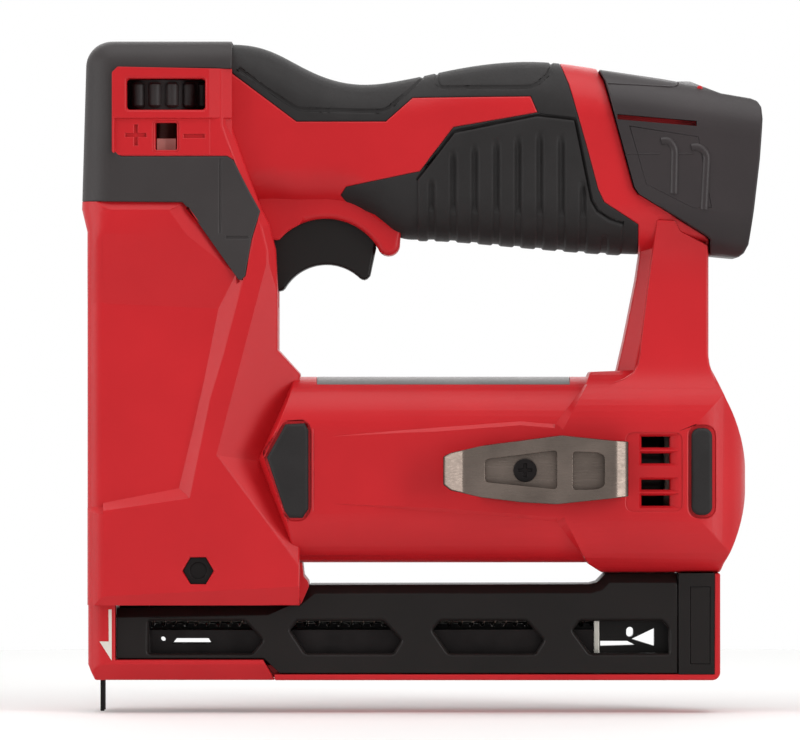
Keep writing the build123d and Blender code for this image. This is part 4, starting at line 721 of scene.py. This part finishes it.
def sideLine(outline, side, step):  # a line on the side face, point by point
    line = []
    for (x0, z0), (x1, z1) in zip(outline, outline[1:]):
        count = max(1, round(math.hypot(x1 - x0, z1 - z0) / step))
        for k in range(count + 1):
            x, z = x0 + (x1 - x0) * k / count, z0 + (z1 - z0) * k / count
            hit = sideHit(handleSkin, side, x, z)
            if hit and (not line or (hit - line[-1]).length > nearest * mm):
                line.append(hit)
    return line


def overTop(start, end, step):  # a line over the handle's back between two side points
    count = max(2, round((end - start).length / (step * mm)))
    line = []
    for k in range(1, count):
        at = start.lerp(end, k / count)
        hit = handleSkin.ray_cast(Vector((at.x, at.y, cadHigh.z + farOut / 2)), Vector((0, 0, -1)))[0]
        if hit:
            line.append(hit)
    return line


def padLine(outline, closed):
    outline = rounded(outline, gripSet["corner"], 3, closed=False)
    near, far = (sideLine(outline, side, gripSet["step"]) for side in sides)
    line = near + overTop(near[-1], far[-1], gripSet["step"]) + far[::-1]
    return line + overTop(far[0], near[0], gripSet["step"]) if closed else line


padLines = [padLine(gripSet["palmPad"], False), padLine(gripSet["rearPad"], True)]
for side, hand in sides.items():
    tools = [tubeAlong(line, gripSet["line"], closed) for line, closed in zip(padLines, (False, True))]
    tools.append(tubeAlong(sideLine(insertSet["outline"], side, gripSet["step"]), gripSet["moat"]))
    grip = carve(copyOf("grip_" + hand), tools)
    settle(soften(grip, gripSet["edge"]), "grip_" + hand, "bumper_rubber")

# Front caps: cut lines, and a seam closed against the palm pad
capSet = {
    "lines": [[(37.0, 161.2), (37.0, 138.6)], [(39.0, 137.0), (45.6, 137.0)]], "line": 0.25, "step": 2.0,
    "seamFrom": (39.9, 189.0), "seam": 0.5, "edge": 0.4, "angle": 14,
}
for side, hand in sides.items():
    tools = [tubeAlong(sideLine(line, side, capSet["step"]), capSet["line"]) for line in capSet["lines"]]
    cap = carve(copyOf("front_cap_" + hand), tools)
    for vert in cap.data.vertices:
        if vert.co.x > capSet["seamFrom"][0] * mm and vert.co.z > capSet["seamFrom"][1] * mm:
            vert.co.x += capSet["seam"] * mm
    settle(soften(cap, capSet["edge"], least=capSet["angle"], crisp=capSet["angle"]), "front_cap_" + hand)
print("grips and front caps finished")


# Each insert is a sheet over the skin with scooped valleys
def gripInsert(side, hand):
    s = insertSet
    angles = [math.radians(angle) for angle in range(s["angleFrom"], 181, s["angleStep"])]
    reach = []  # distance from the middle line to the skin, by station and angle
    for x in s["crests"]:
        centre = Vector((x * mm, 0, s["middleZ"] * mm))
        ways = [Vector((0, side * math.sin(angle), math.cos(angle))) for angle in angles]
        hits = [handleSkin.ray_cast(centre + way * s["outside"] * mm, -way)[0] for way in ways]
        reach.append([(hit - centre).length / mm for hit in hits])

    def skin(x, angle):  # smooth skin distance
        t = (math.degrees(angle) - s["angleFrom"]) / s["angleStep"]
        i = min(len(angles) - 2, max(0, int(t)))
        rows = [row[i] + (row[i + 1] - row[i]) * (t - i) for row in reach]
        return between(x, list(zip(s["crests"], rows)))

    def height(x, angle):
        return s["middleZ"] + skin(x, angle) * math.cos(angle)

    left, right = s["outline"][0][0], s["outline"][-1][0]
    easing, margin = s["easing"], s["margin"]
    count = round((right - left) / s["columns"])
    stations = [left + e for e in easing]
    stations += [left + margin + (right - left - 2 * margin) * k / count for k in range(count + 1)]
    stations += [right - e for e in easing[::-1]]
    bm = bmesh.new()
    grid = []
    for x in stations:
        border = between(x, s["outline"])
        first, high = angles[1], angles[-2]
        for _ in range(24):  # angle at which the skin passes the border's height
            angle = (first + high) / 2
            if height(x, angle) > border:
                first = angle
            else:
                high = angle
        length = (math.pi - first) * skin(x, (first + math.pi) / 2)
        inner = length - margin - s["lastGap"]
        ways = [e / length for e in easing]
        ways += [(margin + inner * k / s["rows"]) / length for k in range(s["rows"] + 1)] + [1.0]
        column = []
        for share in ways:
            angle = first + (math.pi - first) * share
            edge = min(share * length, x - left, right - x) / easing[-1]
            rise = s["proud"]
            if edge < 1:  # the border rounds over and dips under the skin
                rise = (s["proud"] + s["sunk"]) * math.sqrt(max(0, 1 - (1 - edge) ** 2)) - s["sunk"]
            number = round((x - s["valleyStart"]) / s["pitch"])
            line = s["valleyStart"] + number * s["pitch"]
            off = (x - line) / s["valleyWide"]
            if 0 <= number < s["valleys"] and abs(off) < 1:
                head = between(line, s["outline"]) - s["valleyDrop"]
                fade = min(1.0, max(0.0, (head - height(x, angle)) / s["valleyFade"]))
                scoop = (0.5 + 0.5 * math.cos(math.pi * off)) * math.sin(fade * math.pi / 2)
                rise -= s["valleyDeep"] * scoop
            far = skin(x, angle) + rise
            at = (x, side * math.sin(angle) * far, s["middleZ"] + math.cos(angle) * far)
            column.append(bm.verts.new([value * mm for value in at]))
        grid.append(column)
    for a, b in zip(grid, grid[1:]):
        for i in range(len(a) - 1):
            corners = (a[i], a[i + 1], b[i + 1], b[i])
            bm.faces.new(corners if side < 0 else (a[i], b[i], b[i + 1], a[i + 1]))
    piece = pieceFrom("gripInsert" + hand.capitalize(), bm)
    wall = piece.modifiers.new("wall", "SOLIDIFY")
    wall.thickness, wall.offset = s["thick"] * mm, -1
    return shade(bake(piece), 50)


for side, hand in sides.items():
    attach(gripInsert(side, hand), "case", "bumper_rubber")
print("grip inserts finished")

# Depth bezels: raised frames with the wheel and indicator windows and plain plus and minus signs
bezelSet = {
    "outline": [(5.6, 162.4), (40.6, 162.4), (40.6, 189.1), (5.6, 189.1), (4.2, 187.7), (4.2, 163.8)],
    "face": 23.0, "proud": 0.9, "slope": 0.7, "wall": 0.15, "root": 1.9, "through": 3.0,
    "bend": 33.6, "lean": 0.27, "edge": 0.25, "eased": 25, "crease": 10.5,
    "wheelWindow": rect(8.2, 32.4, 176.4, 186.0), "wheelCorner": 0.7, "wheelFlare": (0.9, 0.4, 0.5),
    "tabWindow": rect(16.9, 23.7, 164.0, 172.4), "tabCorner": 0.6, "tabRim": 0.7,
    "tabSteps": (0.5, -0.5, -0.6),
    "signZone": rect(4.6, 42.0, 161.0, 173.6), "zoneFlare": 0.4, "zoneDeep": 0.8, "above": 0.3,
    "signDeep": 0.75, "bar": 1.05, "signLong": 6.4, "plus": (11.0, 168.6), "minus": (29.0, 168.3),
}


def depthBezel(side, hand):
    s = bezelSet
    line, zone = s["outline"], s["signZone"]
    face, top = side * s["face"], side * (s["face"] + s["proud"])
    back, floor, above = face - side * s["root"], top - side * s["zoneDeep"], side * s["above"]
    deep = back - side * s["through"]
    inner = spread(line, -s["slope"])
    inner[1], inner[2] = line[1], line[2]  # no lip along the neck
    frameShape = loft((line, back), (line, face + side * s["wall"]), (inner, top))
    piece = pieceFrom("depthBezel" + hand.capitalize(), frameShape)
    tools = [loft((spread(zone, s["zoneFlare"]), top + above), (zone, floor))]
    hole = rounded(s["wheelWindow"], s["wheelCorner"])
    wide, start, end = s["wheelFlare"]
    tools.append(loft((spread(hole, wide), top + side * start), (hole, top - side * end), (hole, deep)))
    hole = rounded(s["tabWindow"], s["tabCorner"])
    rim = spread(hole, s["tabRim"])
    depths = [floor + side * step for step in s["tabSteps"]] + [deep]
    tools.append(loft(*zip((rim, rim, hole, hole), depths)))
    half, arm = s["bar"] / 2, s["signLong"] / 2
    for x, z, wide, tall in ((*s["plus"], arm, half), (*s["plus"], half, arm), (*s["minus"], arm, half)):
        sign = rect(x - wide, x + wide, z - tall, z + tall)
        tools.append(plate(sign, floor + above, floor - side * s["signDeep"]))
    with opened(carve(piece, tools)) as bm:  # the rear end leans inwards to the neck
        cutAcross(bm, (s["bend"] * mm, 0, 0), (1, 0, 0))
        for vert in bm.verts:
            vert.co.y -= side * max(0.0, vert.co.x - s["bend"] * mm) * s["lean"]
    return soften(piece, s["edge"], own=True, least=s["eased"], crisp=s["crease"])


for side, hand in sides.items():
    attach(depthBezel(side, hand), "case", "red_nylon")
print("depth bezels finished")

# Depth wheel: a bored drum with rounded ribs round it
wheelSet = {"Ribs": 20, "Core radius": 17.1 * mm, "Bore radius": 7.06 * mm, "Bore length": 50.0 * mm,
            "Height": 9.2 * mm, "Rib radius": 2.1 * mm, "Rib height": 6.4 * mm, "Rib end": 0.7 * mm,
            "Rib taper": 0.62, "Rib circle": 17.15 * mm, "First rib": math.radians(12)}
wheelAt = (18.5, 0.0, 181.2)


def wheelTree(tree, given):
    drum = cylinder(tree, 96, given["Core radius"], given["Height"])
    bore = cylinder(tree, 64, given["Bore radius"], given["Bore length"])
    core = put(tree, "GeometryNodeMeshBoolean", {"operation": "DIFFERENCE"}, Mesh_1=drum, Mesh_2=bore)
    rib = cylinder(tree, 24, given["Rib radius"], given["Rib height"])
    slim = product(tree, given["Rib radius"], given["Rib taper"])
    end = cone(tree, 24, given["Rib radius"], slim, given["Rib end"])
    upper = raised(tree, end, product(tree, given["Rib height"], 0.5))
    lower = put(tree, "GeometryNodeTransform", Geometry=upper, Rotation=(math.pi, 0, 0))
    whole = joined(tree, rib, upper, lower.outputs["Geometry"])
    ring = put(tree, "GeometryNodeMeshCircle", Vertices=given["Ribs"], Radius=given["Rib circle"])
    turn = put(tree, "ShaderNodeCombineXYZ", Z=given["First rib"])
    ring = put(tree, "GeometryNodeTransform", Geometry=ring.outputs["Mesh"], Rotation=turn.outputs["Vector"])
    ribs = put(tree, "GeometryNodeInstanceOnPoints", Points=ring.outputs["Geometry"], Instance=whole)
    wheel = joined(tree, core.outputs["Mesh"], ribs.outputs["Instances"])
    place = put(tree, "GeometryNodeTransform", Geometry=wheel, Translation=[value * mm for value in wheelAt])
    return place.outputs["Geometry"]


settle(grow("depthWheel", "black_overmould", wheelTree, wheelSet), "depth_wheel", "black_overmould")

# Springs: one wire wound with a closed turn at each end
springSets = {
    "main_spring": {"at": (18.5, 0.0, 0.0), "turn": (0.0, 0.0, 0.0), "along": 2,
                    "sizes": {"Turns": 9.0, "Mean radius": 8.0 * mm, "Wire radius": 1.3 * mm},
                    "press": ("driver_stroke", (0, 0, 1), 22.1), "nut": "mainSpringUpper"},
    "pusher_spring": {"at": (0.0, 0.0, 18.3), "turn": (0.0, math.pi / 2, 0.0), "along": 0,
                      "sizes": {"Turns": 40.0, "Mean radius": 1.9 * mm, "Wire radius": 0.3 * mm},
                      "press": ("pusher_feed", (1, 0, 0), 105.0)},
}


def springTree(tree, given, at, turn):
    coil = put(tree, "GeometryNodeCurveSpiral", Resolution=28, Rotations=given["Turns"],
               Start_Radius=given["Mean radius"], End_Radius=given["Mean radius"], Height=given["Length"])
    loop = put(tree, "GeometryNodeCurvePrimitiveCircle", Resolution=28, Radius=given["Mean radius"])
    upper = raised(tree, loop.outputs["Curve"], given["Length"])
    wire = joined(tree, coil.outputs["Curve"], loop.outputs["Curve"], upper)
    section = put(tree, "GeometryNodeCurvePrimitiveCircle", Resolution=10, Radius=given["Wire radius"])
    solid = put(tree, "GeometryNodeCurveToMesh", Curve=wire, Profile_Curve=section.outputs["Curve"],
                Fill_Caps=True)
    place = put(tree, "GeometryNodeTransform", Geometry=solid.outputs["Mesh"], Translation=at, Rotation=turn)
    return place.outputs["Geometry"]


for node, spring in springSets.items():
    low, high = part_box(node)
    along, wire = spring["along"], spring["sizes"]["Wire radius"]
    at = [value * mm for value in spring["at"]]
    at[along] = low[along] + wire
    sizes = {**spring["sizes"], "Length": high[along] - low[along] - 2 * wire}
    coil = grow(camel(node), slotOf[node],
                lambda tree, given: springTree(tree, given, at, spring["turn"]), sizes)
    joint, way, travel = spring["press"]
    held = [value * mm for value in spring["at"]]
    held[along] = high[along]
    if "nut" in spring:  # the coil is cut in two at its middle, and the upper part is kept as a piece of its own
        tip = held.copy()
        held[along] = (low[along] + high[along]) / 2
        upper = newPiece(spring["nut"], coil.data.copy())
        for half, piece in ((-1, coil), (1, upper)):
            with opened(piece) as bm:
                cutAcross(bm, held, Vector(way) * -half, clear_outer=True)
                bmesh.ops.holes_fill(bm, edges=[edge for edge in bm.edges if edge.is_boundary])
        upper.data.materials.clear()
        upper.data.materials.append(materials[slotOf[node]])
        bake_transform(upper)
    settle(coil, node)
    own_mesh(coil)
print("depth wheel and springs finished")

# Case screws: button heads with a hexagon socket, one for each loose part of the CAD group
screwSet = {"Head radius": 2.7 * mm, "Head height": 1.5 * mm, "Crown height": 0.7 * mm,
            "Crown radius": 2.1 * mm, "Shank radius": 1.5 * mm, "Shank length": 21.0 * mm,
            "Socket radius": 1.35 * mm, "Socket length": 2.8 * mm, "Socket middle": 2.2 * mm, "Seed": 3}
screwSeat = 11.0  # head seat beyond the parting plane


def screwTree(tree, given):
    def bar(radius, depth, middle, count=32):
        return raised(tree, cylinder(tree, count, radius, depth), middle)

    crown = cone(tree, 32, given["Head radius"], given["Crown radius"], given["Crown height"])
    solid = put(tree, "GeometryNodeMeshBoolean", {"operation": "UNION"})
    headMiddle = product(tree, given["Head height"], 0.5)
    shankMiddle = product(tree, given["Shank length"], -0.5)
    for part in (bar(given["Head radius"], given["Head height"], headMiddle),
                 raised(tree, crown, given["Head height"]),
                 bar(given["Shank radius"], given["Shank length"], shankMiddle)):
        tree.links.new(part, solid.inputs["Mesh 2"])
    hexagon = bar(given["Socket radius"], given["Socket length"], given["Socket middle"], 6)
    socket = put(tree, "GeometryNodeMeshBoolean", {"operation": "DIFFERENCE"}, Mesh_1=solid.outputs["Mesh"],
                 Mesh_2=hexagon)
    spin = put(tree, "FunctionNodeRandomValue", {"data_type": "FLOAT"}, Seed=given["Seed"], i2=0.0,
               i3=math.tau)
    way = put(tree, "ShaderNodeCombineXYZ", X=-math.pi / 2, Y=spin.outputs[1])
    screws = put(tree, "GeometryNodeInstanceOnPoints", Points=given["Points"],
                 Instance=socket.outputs["Mesh"], Rotation=way.outputs["Vector"])
    return screws.outputs["Instances"]


def looseSpots(node):  # side-view centre of each loose part
    bm = merged(nodes[node].data)
    left, spots = set(bm.verts), []
    while left:
        group, edge = set(), [left.pop()]
        while edge:
            vert = edge.pop()
            group.add(vert)
            near = [other for link in vert.link_edges for other in link.verts if other in left]
            left.difference_update(near)
            edge += near
        xs, zs = [v.co.x / mm for v in group], [v.co.z / mm for v in group]
        spots.append(((min(xs) + max(xs)) / 2, screwSeat, (min(zs) + max(zs)) / 2))
    bm.free()
    return sorted(spots)


screwSpots = looseSpots("case_screws")
settle(grow("caseScrews", slotOf["case_screws"], screwTree, screwSet, screwSpots), "case_screws")
print("case screws finished,", len(screwSpots))

# Leg faces: raised skins that flow from the rear block up the leg to a shoulder on the collar
legSet = {
    "levels": [(89.0, 153.0, 191.8, 23.6), (90.5, 154.5, 191.0, 22.95), (92.0, 157.5, 190.3, 21.9),
               (93.5, 161.6, 189.7, 21.0), (95.5, 164.6, 188.9, 20.1), (98.0, 166.0, 188.2, 19.3),
               (101.0, 166.6, 187.8, 18.7), (106.0, 167.1, 187.7, 18.0),
               (113.0, 168.0, 187.7, 17.6), (124.0, 169.4, 187.7, 17.6), (130.0, 170.2, 187.7, 18.1),
               (134.0, 170.7, 187.7, 19.2), (138.0, 171.2, 187.7, 21.0), (141.0, 171.6, 187.7, 22.6),
               (145.0, 172.0, 187.7, 24.4)],  # height, front, rear and side
    "root": 13.0, "edge": 0.8, "eased": 40, "crease": 30, "screwHole": 3.4, "screwSink": 2.0, "out": 40.0,
    "above": [(160, 142.8), (177.6, 142.4), (179.2, 139.0), (187.1, 135.0), (195, 131.1), (195, 160),
              (160, 160)],
}
lowest, legFront, legRear, _ = legSet["levels"][0]
for side, hand in sides.items():
    plans = [(rect(x0, x1, side * legSet["root"], side * y), z) for z, x0, x1, y in legSet["levels"]]
    skin = pieceFrom("legFace" + hand.capitalize(), loft(*plans, upright=True))
    tools = [plate(legSet["above"], -legSet["out"], legSet["out"])]
    for x, y, z in screwSpots if side > 0 else ():
        if legFront < x < legRear and lowest < z < legSet["levels"][-1][0]:
            hole = circle(x, z, legSet["screwHole"], 32)
            tools.append(plate(hole, y - legSet["screwSink"], legSet["out"]))
    soften(carve(skin, tools), legSet["edge"], least=legSet["eased"], own=True, crisp=legSet["crease"])
    attach(skin, "case", "red_nylon")
print("leg faces finished")

# Half arrow printed on the nose, pointing at the staple exit
arrowSet = {
    "outline": [(2.3, 22.0), (3.3, 22.0), (3.3, 6.2), (-0.5, 12.1), (2.4, 12.1)],
    "face": 16.5, "film": 0.06, "sunk": 0.3,
}
arrow = plate(arrowSet["outline"], -arrowSet["face"] - arrowSet["film"],
              -arrowSet["face"] + arrowSet["sunk"])
attach(shade(pieceFrom("noseArrow", arrow)), "case", "white_nylon")

# Magazine covers: chamfered window rims and a broad bevel along the top
coverSet = {
    "face": 14.5, "rim": 0.9, "rimOut": 0.3, "corner": 0.8, "edge": 0.3, "topBevel": 2.8, "topFrom": 21.0,
    "windows": [
        [(14.8, 18.3), (44.5, 18.3), (49.8, 12.4), (46.7, 8.4), (14.7, 8.4)],
        [(58.7, 15.5), (60.6, 18.3), (87.3, 18.3), (92.8, 12.4), (90.4, 8.4), (63.4, 8.4)],
        [(102.8, 15.5), (104.9, 18.3), (131.6, 18.3), (136.9, 12.4), (134.4, 8.4), (107.7, 8.4)],
        [(146.2, 15.5), (148.3, 18.3), (173.8, 18.3), (175.6, 16.1), (175.6, 8.4), (151.4, 8.4)],
    ],
}


def magazineCover(side, node):
    s = coverSet
    face = side * s["face"]
    piece = copyOf(node)
    with opened(piece) as bm:
        bmesh.ops.dissolve_limit(bm, angle_limit=math.radians(0.6), verts=bm.verts, edges=bm.edges)
        level, start = face * mm, s["topFrom"] * mm
        outer = [edge for edge in bm.edges if edge.is_convex
                 and all(abs(v.co.y - level) < touching and v.co.z > start for v in edge.verts)
                 and any(wall.normal.z > 0.3 for wall in edge.link_faces)]
        bmesh.ops.bevel(bm, geom=outer, offset=s["topBevel"] * mm, segments=1, affect="EDGES",
                        clamp_overlap=False)
        bmesh.ops.triangulate(bm, faces=bm.faces)
    tools = []
    for shape in s["windows"]:
        hole = rounded(shape, s["corner"])
        tools.append(loft((spread(hole, s["rim"] + s["rimOut"]), face + side * s["rimOut"]),
                          (hole, face - side * s["rim"])))
    return soften(carve(piece, tools), s["edge"])


for side, hand in sides.items():
    settle(magazineCover(side, "magazine_cover_" + hand), "magazine_cover_" + hand)
print("magazine covers finished")

# Belt clip: one bent strip with a flared tip and two windows
clipSet = {
    "x": 131.0, "z": 65.2, "strip": 1.3, "back": 27.0, "gap": 11.0, "front": -12.9, "rear": 30.95,
    "lip": (27.6, 1.6), "tip": ((-19.0, 1.7), (-25.2, -0.6)),
    "bend": 3.2, "crimp": 0.8, "edge": 0.38, "eased": 40, "step": 0.8,
    "upper": [(-25.6, 4.2), (-23.0, 5.5), (-13.7, 7.6), (-1.3, 9.2), (11.1, 10.8), (27.3, 9.2), (32.5, 8.9)],
    "lower": [(-25.6, -4.0), (-23.0, -6.0), (-13.7, -8.2), (-1.3, -9.7), (9.6, -10.3), (26.6, -8.5),
              (32.5, -7.8)],
    "windows": [[(-12.4, 3.4), (9.6, 6.2), (9.6, -5.6), (-12.4, -3.4)],
                [(14.5, 5.8), (22.0, 5.6), (24.2, 4.6), (24.2, -4.6), (22.0, -5.6), (14.5, -5.8)]],
    "windowCorner": 1.2, "windowOut": -50.0, "windowFloor": 4.0, "screwHole": 2.2, "screwFloor": 1.0,
}


def beltClip():
    s = clipSet
    half = s["strip"] / 2
    near, far = -s["back"] - half, -s["back"] - s["gap"] - half
    turn = (s["rear"], (near + far) / 2)
    outer = [turn, (s["rear"], far + s["lip"][1]), (s["lip"][0], far)] + [(x, far + y) for x, y in s["tip"]]
    route = rounded([(s["front"], near), (s["rear"], near), turn], s["bend"], 8, closed=False)[:-1]
    route += rounded(outer, s["crimp"], 4, closed=False)
    line = []
    for (x0, y0), (x1, y1) in zip(route, route[1:]):
        count = max(1, round(math.hypot(x1 - x0, y1 - y0) / s["step"]))
        line += [Vector((x0 + (x1 - x0) * k / count, y0 + (y1 - y0) * k / count)) for k in range(count)]
    line.append(Vector(route[-1]))
    rings = []
    for i, at in enumerate(line):
        along = (line[min(i + 1, len(line) - 1)] - line[max(i - 1, 0)]).normalized()
        across = Vector((-along.y, along.x)) * half
        top, low = between(at.x, s["upper"]), between(at.x, s["lower"])
        ring = [(at + across, top), (at - across, top), (at - across, low), (at + across, low)]
        rings.append([(s["x"] + p.x, p.y, s["z"] + z) for p, z in ring])
    piece = pieceFrom("beltClip", bridge(rings))
    inside = -s["back"] - s["windowFloor"]
    tools = []
    for shape in s["windows"]:
        hole = rounded([(s["x"] + a, s["z"] + b) for a, b in shape], s["windowCorner"])
        tools.append(plate(hole, s["windowOut"], inside))
    tools.append(plate(circle(s["x"], s["z"], s["screwHole"], 24), inside, -s["back"] + s["screwFloor"]))
    return soften(carve(piece, tools), s["edge"], least=s["eased"], own=True)


settle(beltClip(), "belt_clip")
print("belt clip finished")

# Battery pack: slit with the red catch behind it, shoulder bead, button line and finger ridges
packSet = {
    "edge": 0.6, "fineEdge": 0.06, "rimZone": ((156.0, 189.0), (25.2, 40.0), (0.0, 250.0)),
    "slit": [(159.5, 175.0), (184.0, 172.9), (184.0, 171.3), (159.5, 173.4)], "slitOut": 30.0,
    "slitFloor": 20.0, "catchWider": 0.2, "catch": (0.25, -0.4), "buttonWider": 0.27, "buttonEdge": 0.05,
    "corner": 1.6, "beadRound": 0.3,
    "bead": [(156.7, 184.6), (176.6, 183.6), (178.2, 184.0), (178.9, 186.0)],
    "line": [(162.3, 162.8), (172.6, 162.8)], "lineRear": [(178.4, 162.8), (183.0, 162.8)], "lineRound": 0.2,
    "ridges": [[(173.1, 166.6), (175.3, 167.0), (177.3, 164.6), (177.0, 150.5)],
               [(182.4, 164.7), (184.6, 165.0), (187.2, 162.8), (186.3, 145.6)]],
    "blades": [[(174.1, 163.2), (175.8, 150.6)], [(183.6, 162.4), (185.1, 145.8)]],
    "ridgeRound": 1.5, "bladeRound": 0.5, "ridgeSink": 0.8, "smooth": 60,
    "lens": (185.2, 183.2),
    "redDotRings": ((0.9, -0.6), (0.9, 0.0), (0.7, 0.15), (0.35, 0.25)),  # radius and height
}
packSkin = treeOf(["battery_case", "battery_button_left", "battery_button_right"])


def packLine(outline, side, radius, sink):  # a round bar on the pack's skin
    line = []
    for x, z in rounded(outline, packSet["corner"], closed=False):
        hit = sideHit(packSkin, side, x, z)
        if hit:
            hit.y -= side * sink * mm
        if hit and (not line or (hit - line[-1]).length > nearest * mm):
            line.append(hit)
    return tubeAlong(line, radius)


def offButton(edge):  # edges away from the release buttons' openings
    return not all(within(vert.co / mm, packSet["rimZone"]) for vert in edge.verts)


slits = [plate(packSet["slit"], side * packSet["slitOut"], side * packSet["slitFloor"]) for side in sides]
packPiece = carve(copyOf("battery_case"), slits)
packRims = [{"where": offButton, "width": packSet["edge"], "steps": 4}]
settle(soften(packPiece, packSet["fineEdge"], rims=packRims), "battery_case")
for side, hand in sides.items():
    body, node, end = "button_" + hand, "battery_button_" + hand, hand.capitalize()
    settle(soften(widen(copyOf(node), packSet["buttonWider"]), packSet["buttonEdge"]), node)
    depths = [side * (packSet["slitFloor"] + step) for step in packSet["catch"]]
    catch = plate(spread(packSet["slit"], packSet["catchWider"]), *depths)
    attach(shade(pieceFrom("packCatch" + end, catch)), "battery", "red_nylon")
    bars = [("packBead", packSet["bead"], "beadRound", "battery", 0.0),
            ("packLine", packSet["line"], "lineRound", body, 0.0),
            ("packLineRear", packSet["lineRear"], "lineRound", body, 0.0)]
    for number, (ridge, blade) in enumerate(zip(packSet["ridges"], packSet["blades"]), 1):
        bars += [(f"packRidge{number}", ridge, "ridgeRound", body, packSet["ridgeSink"]),
                 (f"packBlade{number}", blade, "bladeRound", body, packSet["ridgeSink"])]
    for name, route, size, rider, sink in bars:
        bar = pieceFrom(name + end, packLine(route, side, packSet[size], sink))
        attach(shade(bar, packSet["smooth"]), rider, "pack_plastic")
    # a small red dome near the top of the pack
    x, z = packSet["lens"]
    face = sideHit(packSkin, side, x, z).y / mm
    lens = loft(*[(circle(x, z, radius, 20), face + side * out) for radius, out in packSet["redDotRings"]])
    attach(shade(pieceFrom("packRedDot" + end, lens), packSet["smooth"]), "battery", "red_nylon")
print("battery pack finished")

# Camera square on to the tool's left side
cameraSet = {"reach": 2.4, "facePlane": -0.012, "frameWide": 0.248, "centreX": 0.0925, "centreZ": 0.0961,
             "sensor": 36, "farEnd": 50}
camera = bpy.data.objects.new("camera", bpy.data.cameras.new("camera"))
scene.collection.objects.link(camera)
camera.location = (cameraSet["centreX"], cameraSet["facePlane"] - cameraSet["reach"], cameraSet["centreZ"])
camera.rotation_euler = (math.radians(90), 0, 0)
camera.data.sensor_width = cameraSet["sensor"]
camera.data.lens = cameraSet["sensor"] * cameraSet["reach"] / cameraSet["frameWide"]
camera.data.clip_end = cameraSet["farEnd"]
scene.camera = camera

# Pale floor, white world and softboxes
studio = {
    "target": (0.1, 0, 0.09), "ambient": 0.12,
    "floorRadius": 0.55, "floorDrop": 0.3, "floorColour": "#F9F9F8", "floorRough": 0.9,
    "lamps": {
        "top": {"at": (0.1, -0.3, 1.3), "size": (1.6, 1.2), "power": 15},
        "left": {"at": (-1.3, -0.5, 0.3), "size": (1.3, 1.2), "power": 13},
        "right": {"at": (1.25, -1.0, 0.4), "size": (0.6, 1.2), "power": 13.5},
        "rear": {"at": (0.1, 1.3, 0.9), "size": (1.6, 1.0), "power": 8},
    },
}
target = Vector(studio["target"])
for lampName, lamp in studio["lamps"].items():
    light = bpy.data.lights.new(lampName, "AREA")
    light.shape, light.energy = "RECTANGLE", lamp["power"]
    light.size, light.size_y = lamp["size"]
    lampObject = bpy.data.objects.new(lampName, light)
    lampObject.location = lamp["at"]
    lampObject.rotation_euler = (target - Vector(lamp["at"])).to_track_quat("-Z", "Y").to_euler()
    scene.collection.objects.link(lampObject)

world = bpy.data.worlds.new("studio")
scene.world = world
world.use_nodes = True
sky = world.node_tree
background = sky.nodes["Background"]
rays = put(sky, "ShaderNodeLightPath").outputs
seen = rays["Is Camera Ray"]
for kind in ("Is Transmission Ray", "Is Glossy Ray"):
    seen = put(sky, "ShaderNodeMath", {"operation": "MAXIMUM"}, i0=seen, i1=rays[kind]).outputs["Value"]
strength = put(sky, "ShaderNodeMapRange", Value=seen, To_Min=studio["ambient"], To_Max=1.0)
sky.links.new(strength.outputs["Result"], background.inputs["Strength"])
background.inputs["Color"].default_value = linear("#FFFFFF")

floorShape = bmesh.new()
bmesh.ops.create_circle(floorShape, cap_ends=True, segments=96, radius=studio["floorRadius"])
floorAt = (target.x, 0, cadLow.z - studio["floorDrop"] * mm)
bmesh.ops.translate(floorShape, verts=floorShape.verts, vec=floorAt)
floor = pieceFrom("floor", floorShape)
floorMaterial, _, floorShader, _ = newMaterial("paperFloor")
floorShader.inputs["Base Color"].default_value = linear(studio["floorColour"])
floorShader.inputs["Roughness"].default_value = studio["floorRough"]
floor.data.materials.append(floorMaterial)
print("camera, floor and lights set")

scene.view_settings.view_transform = "Standard"
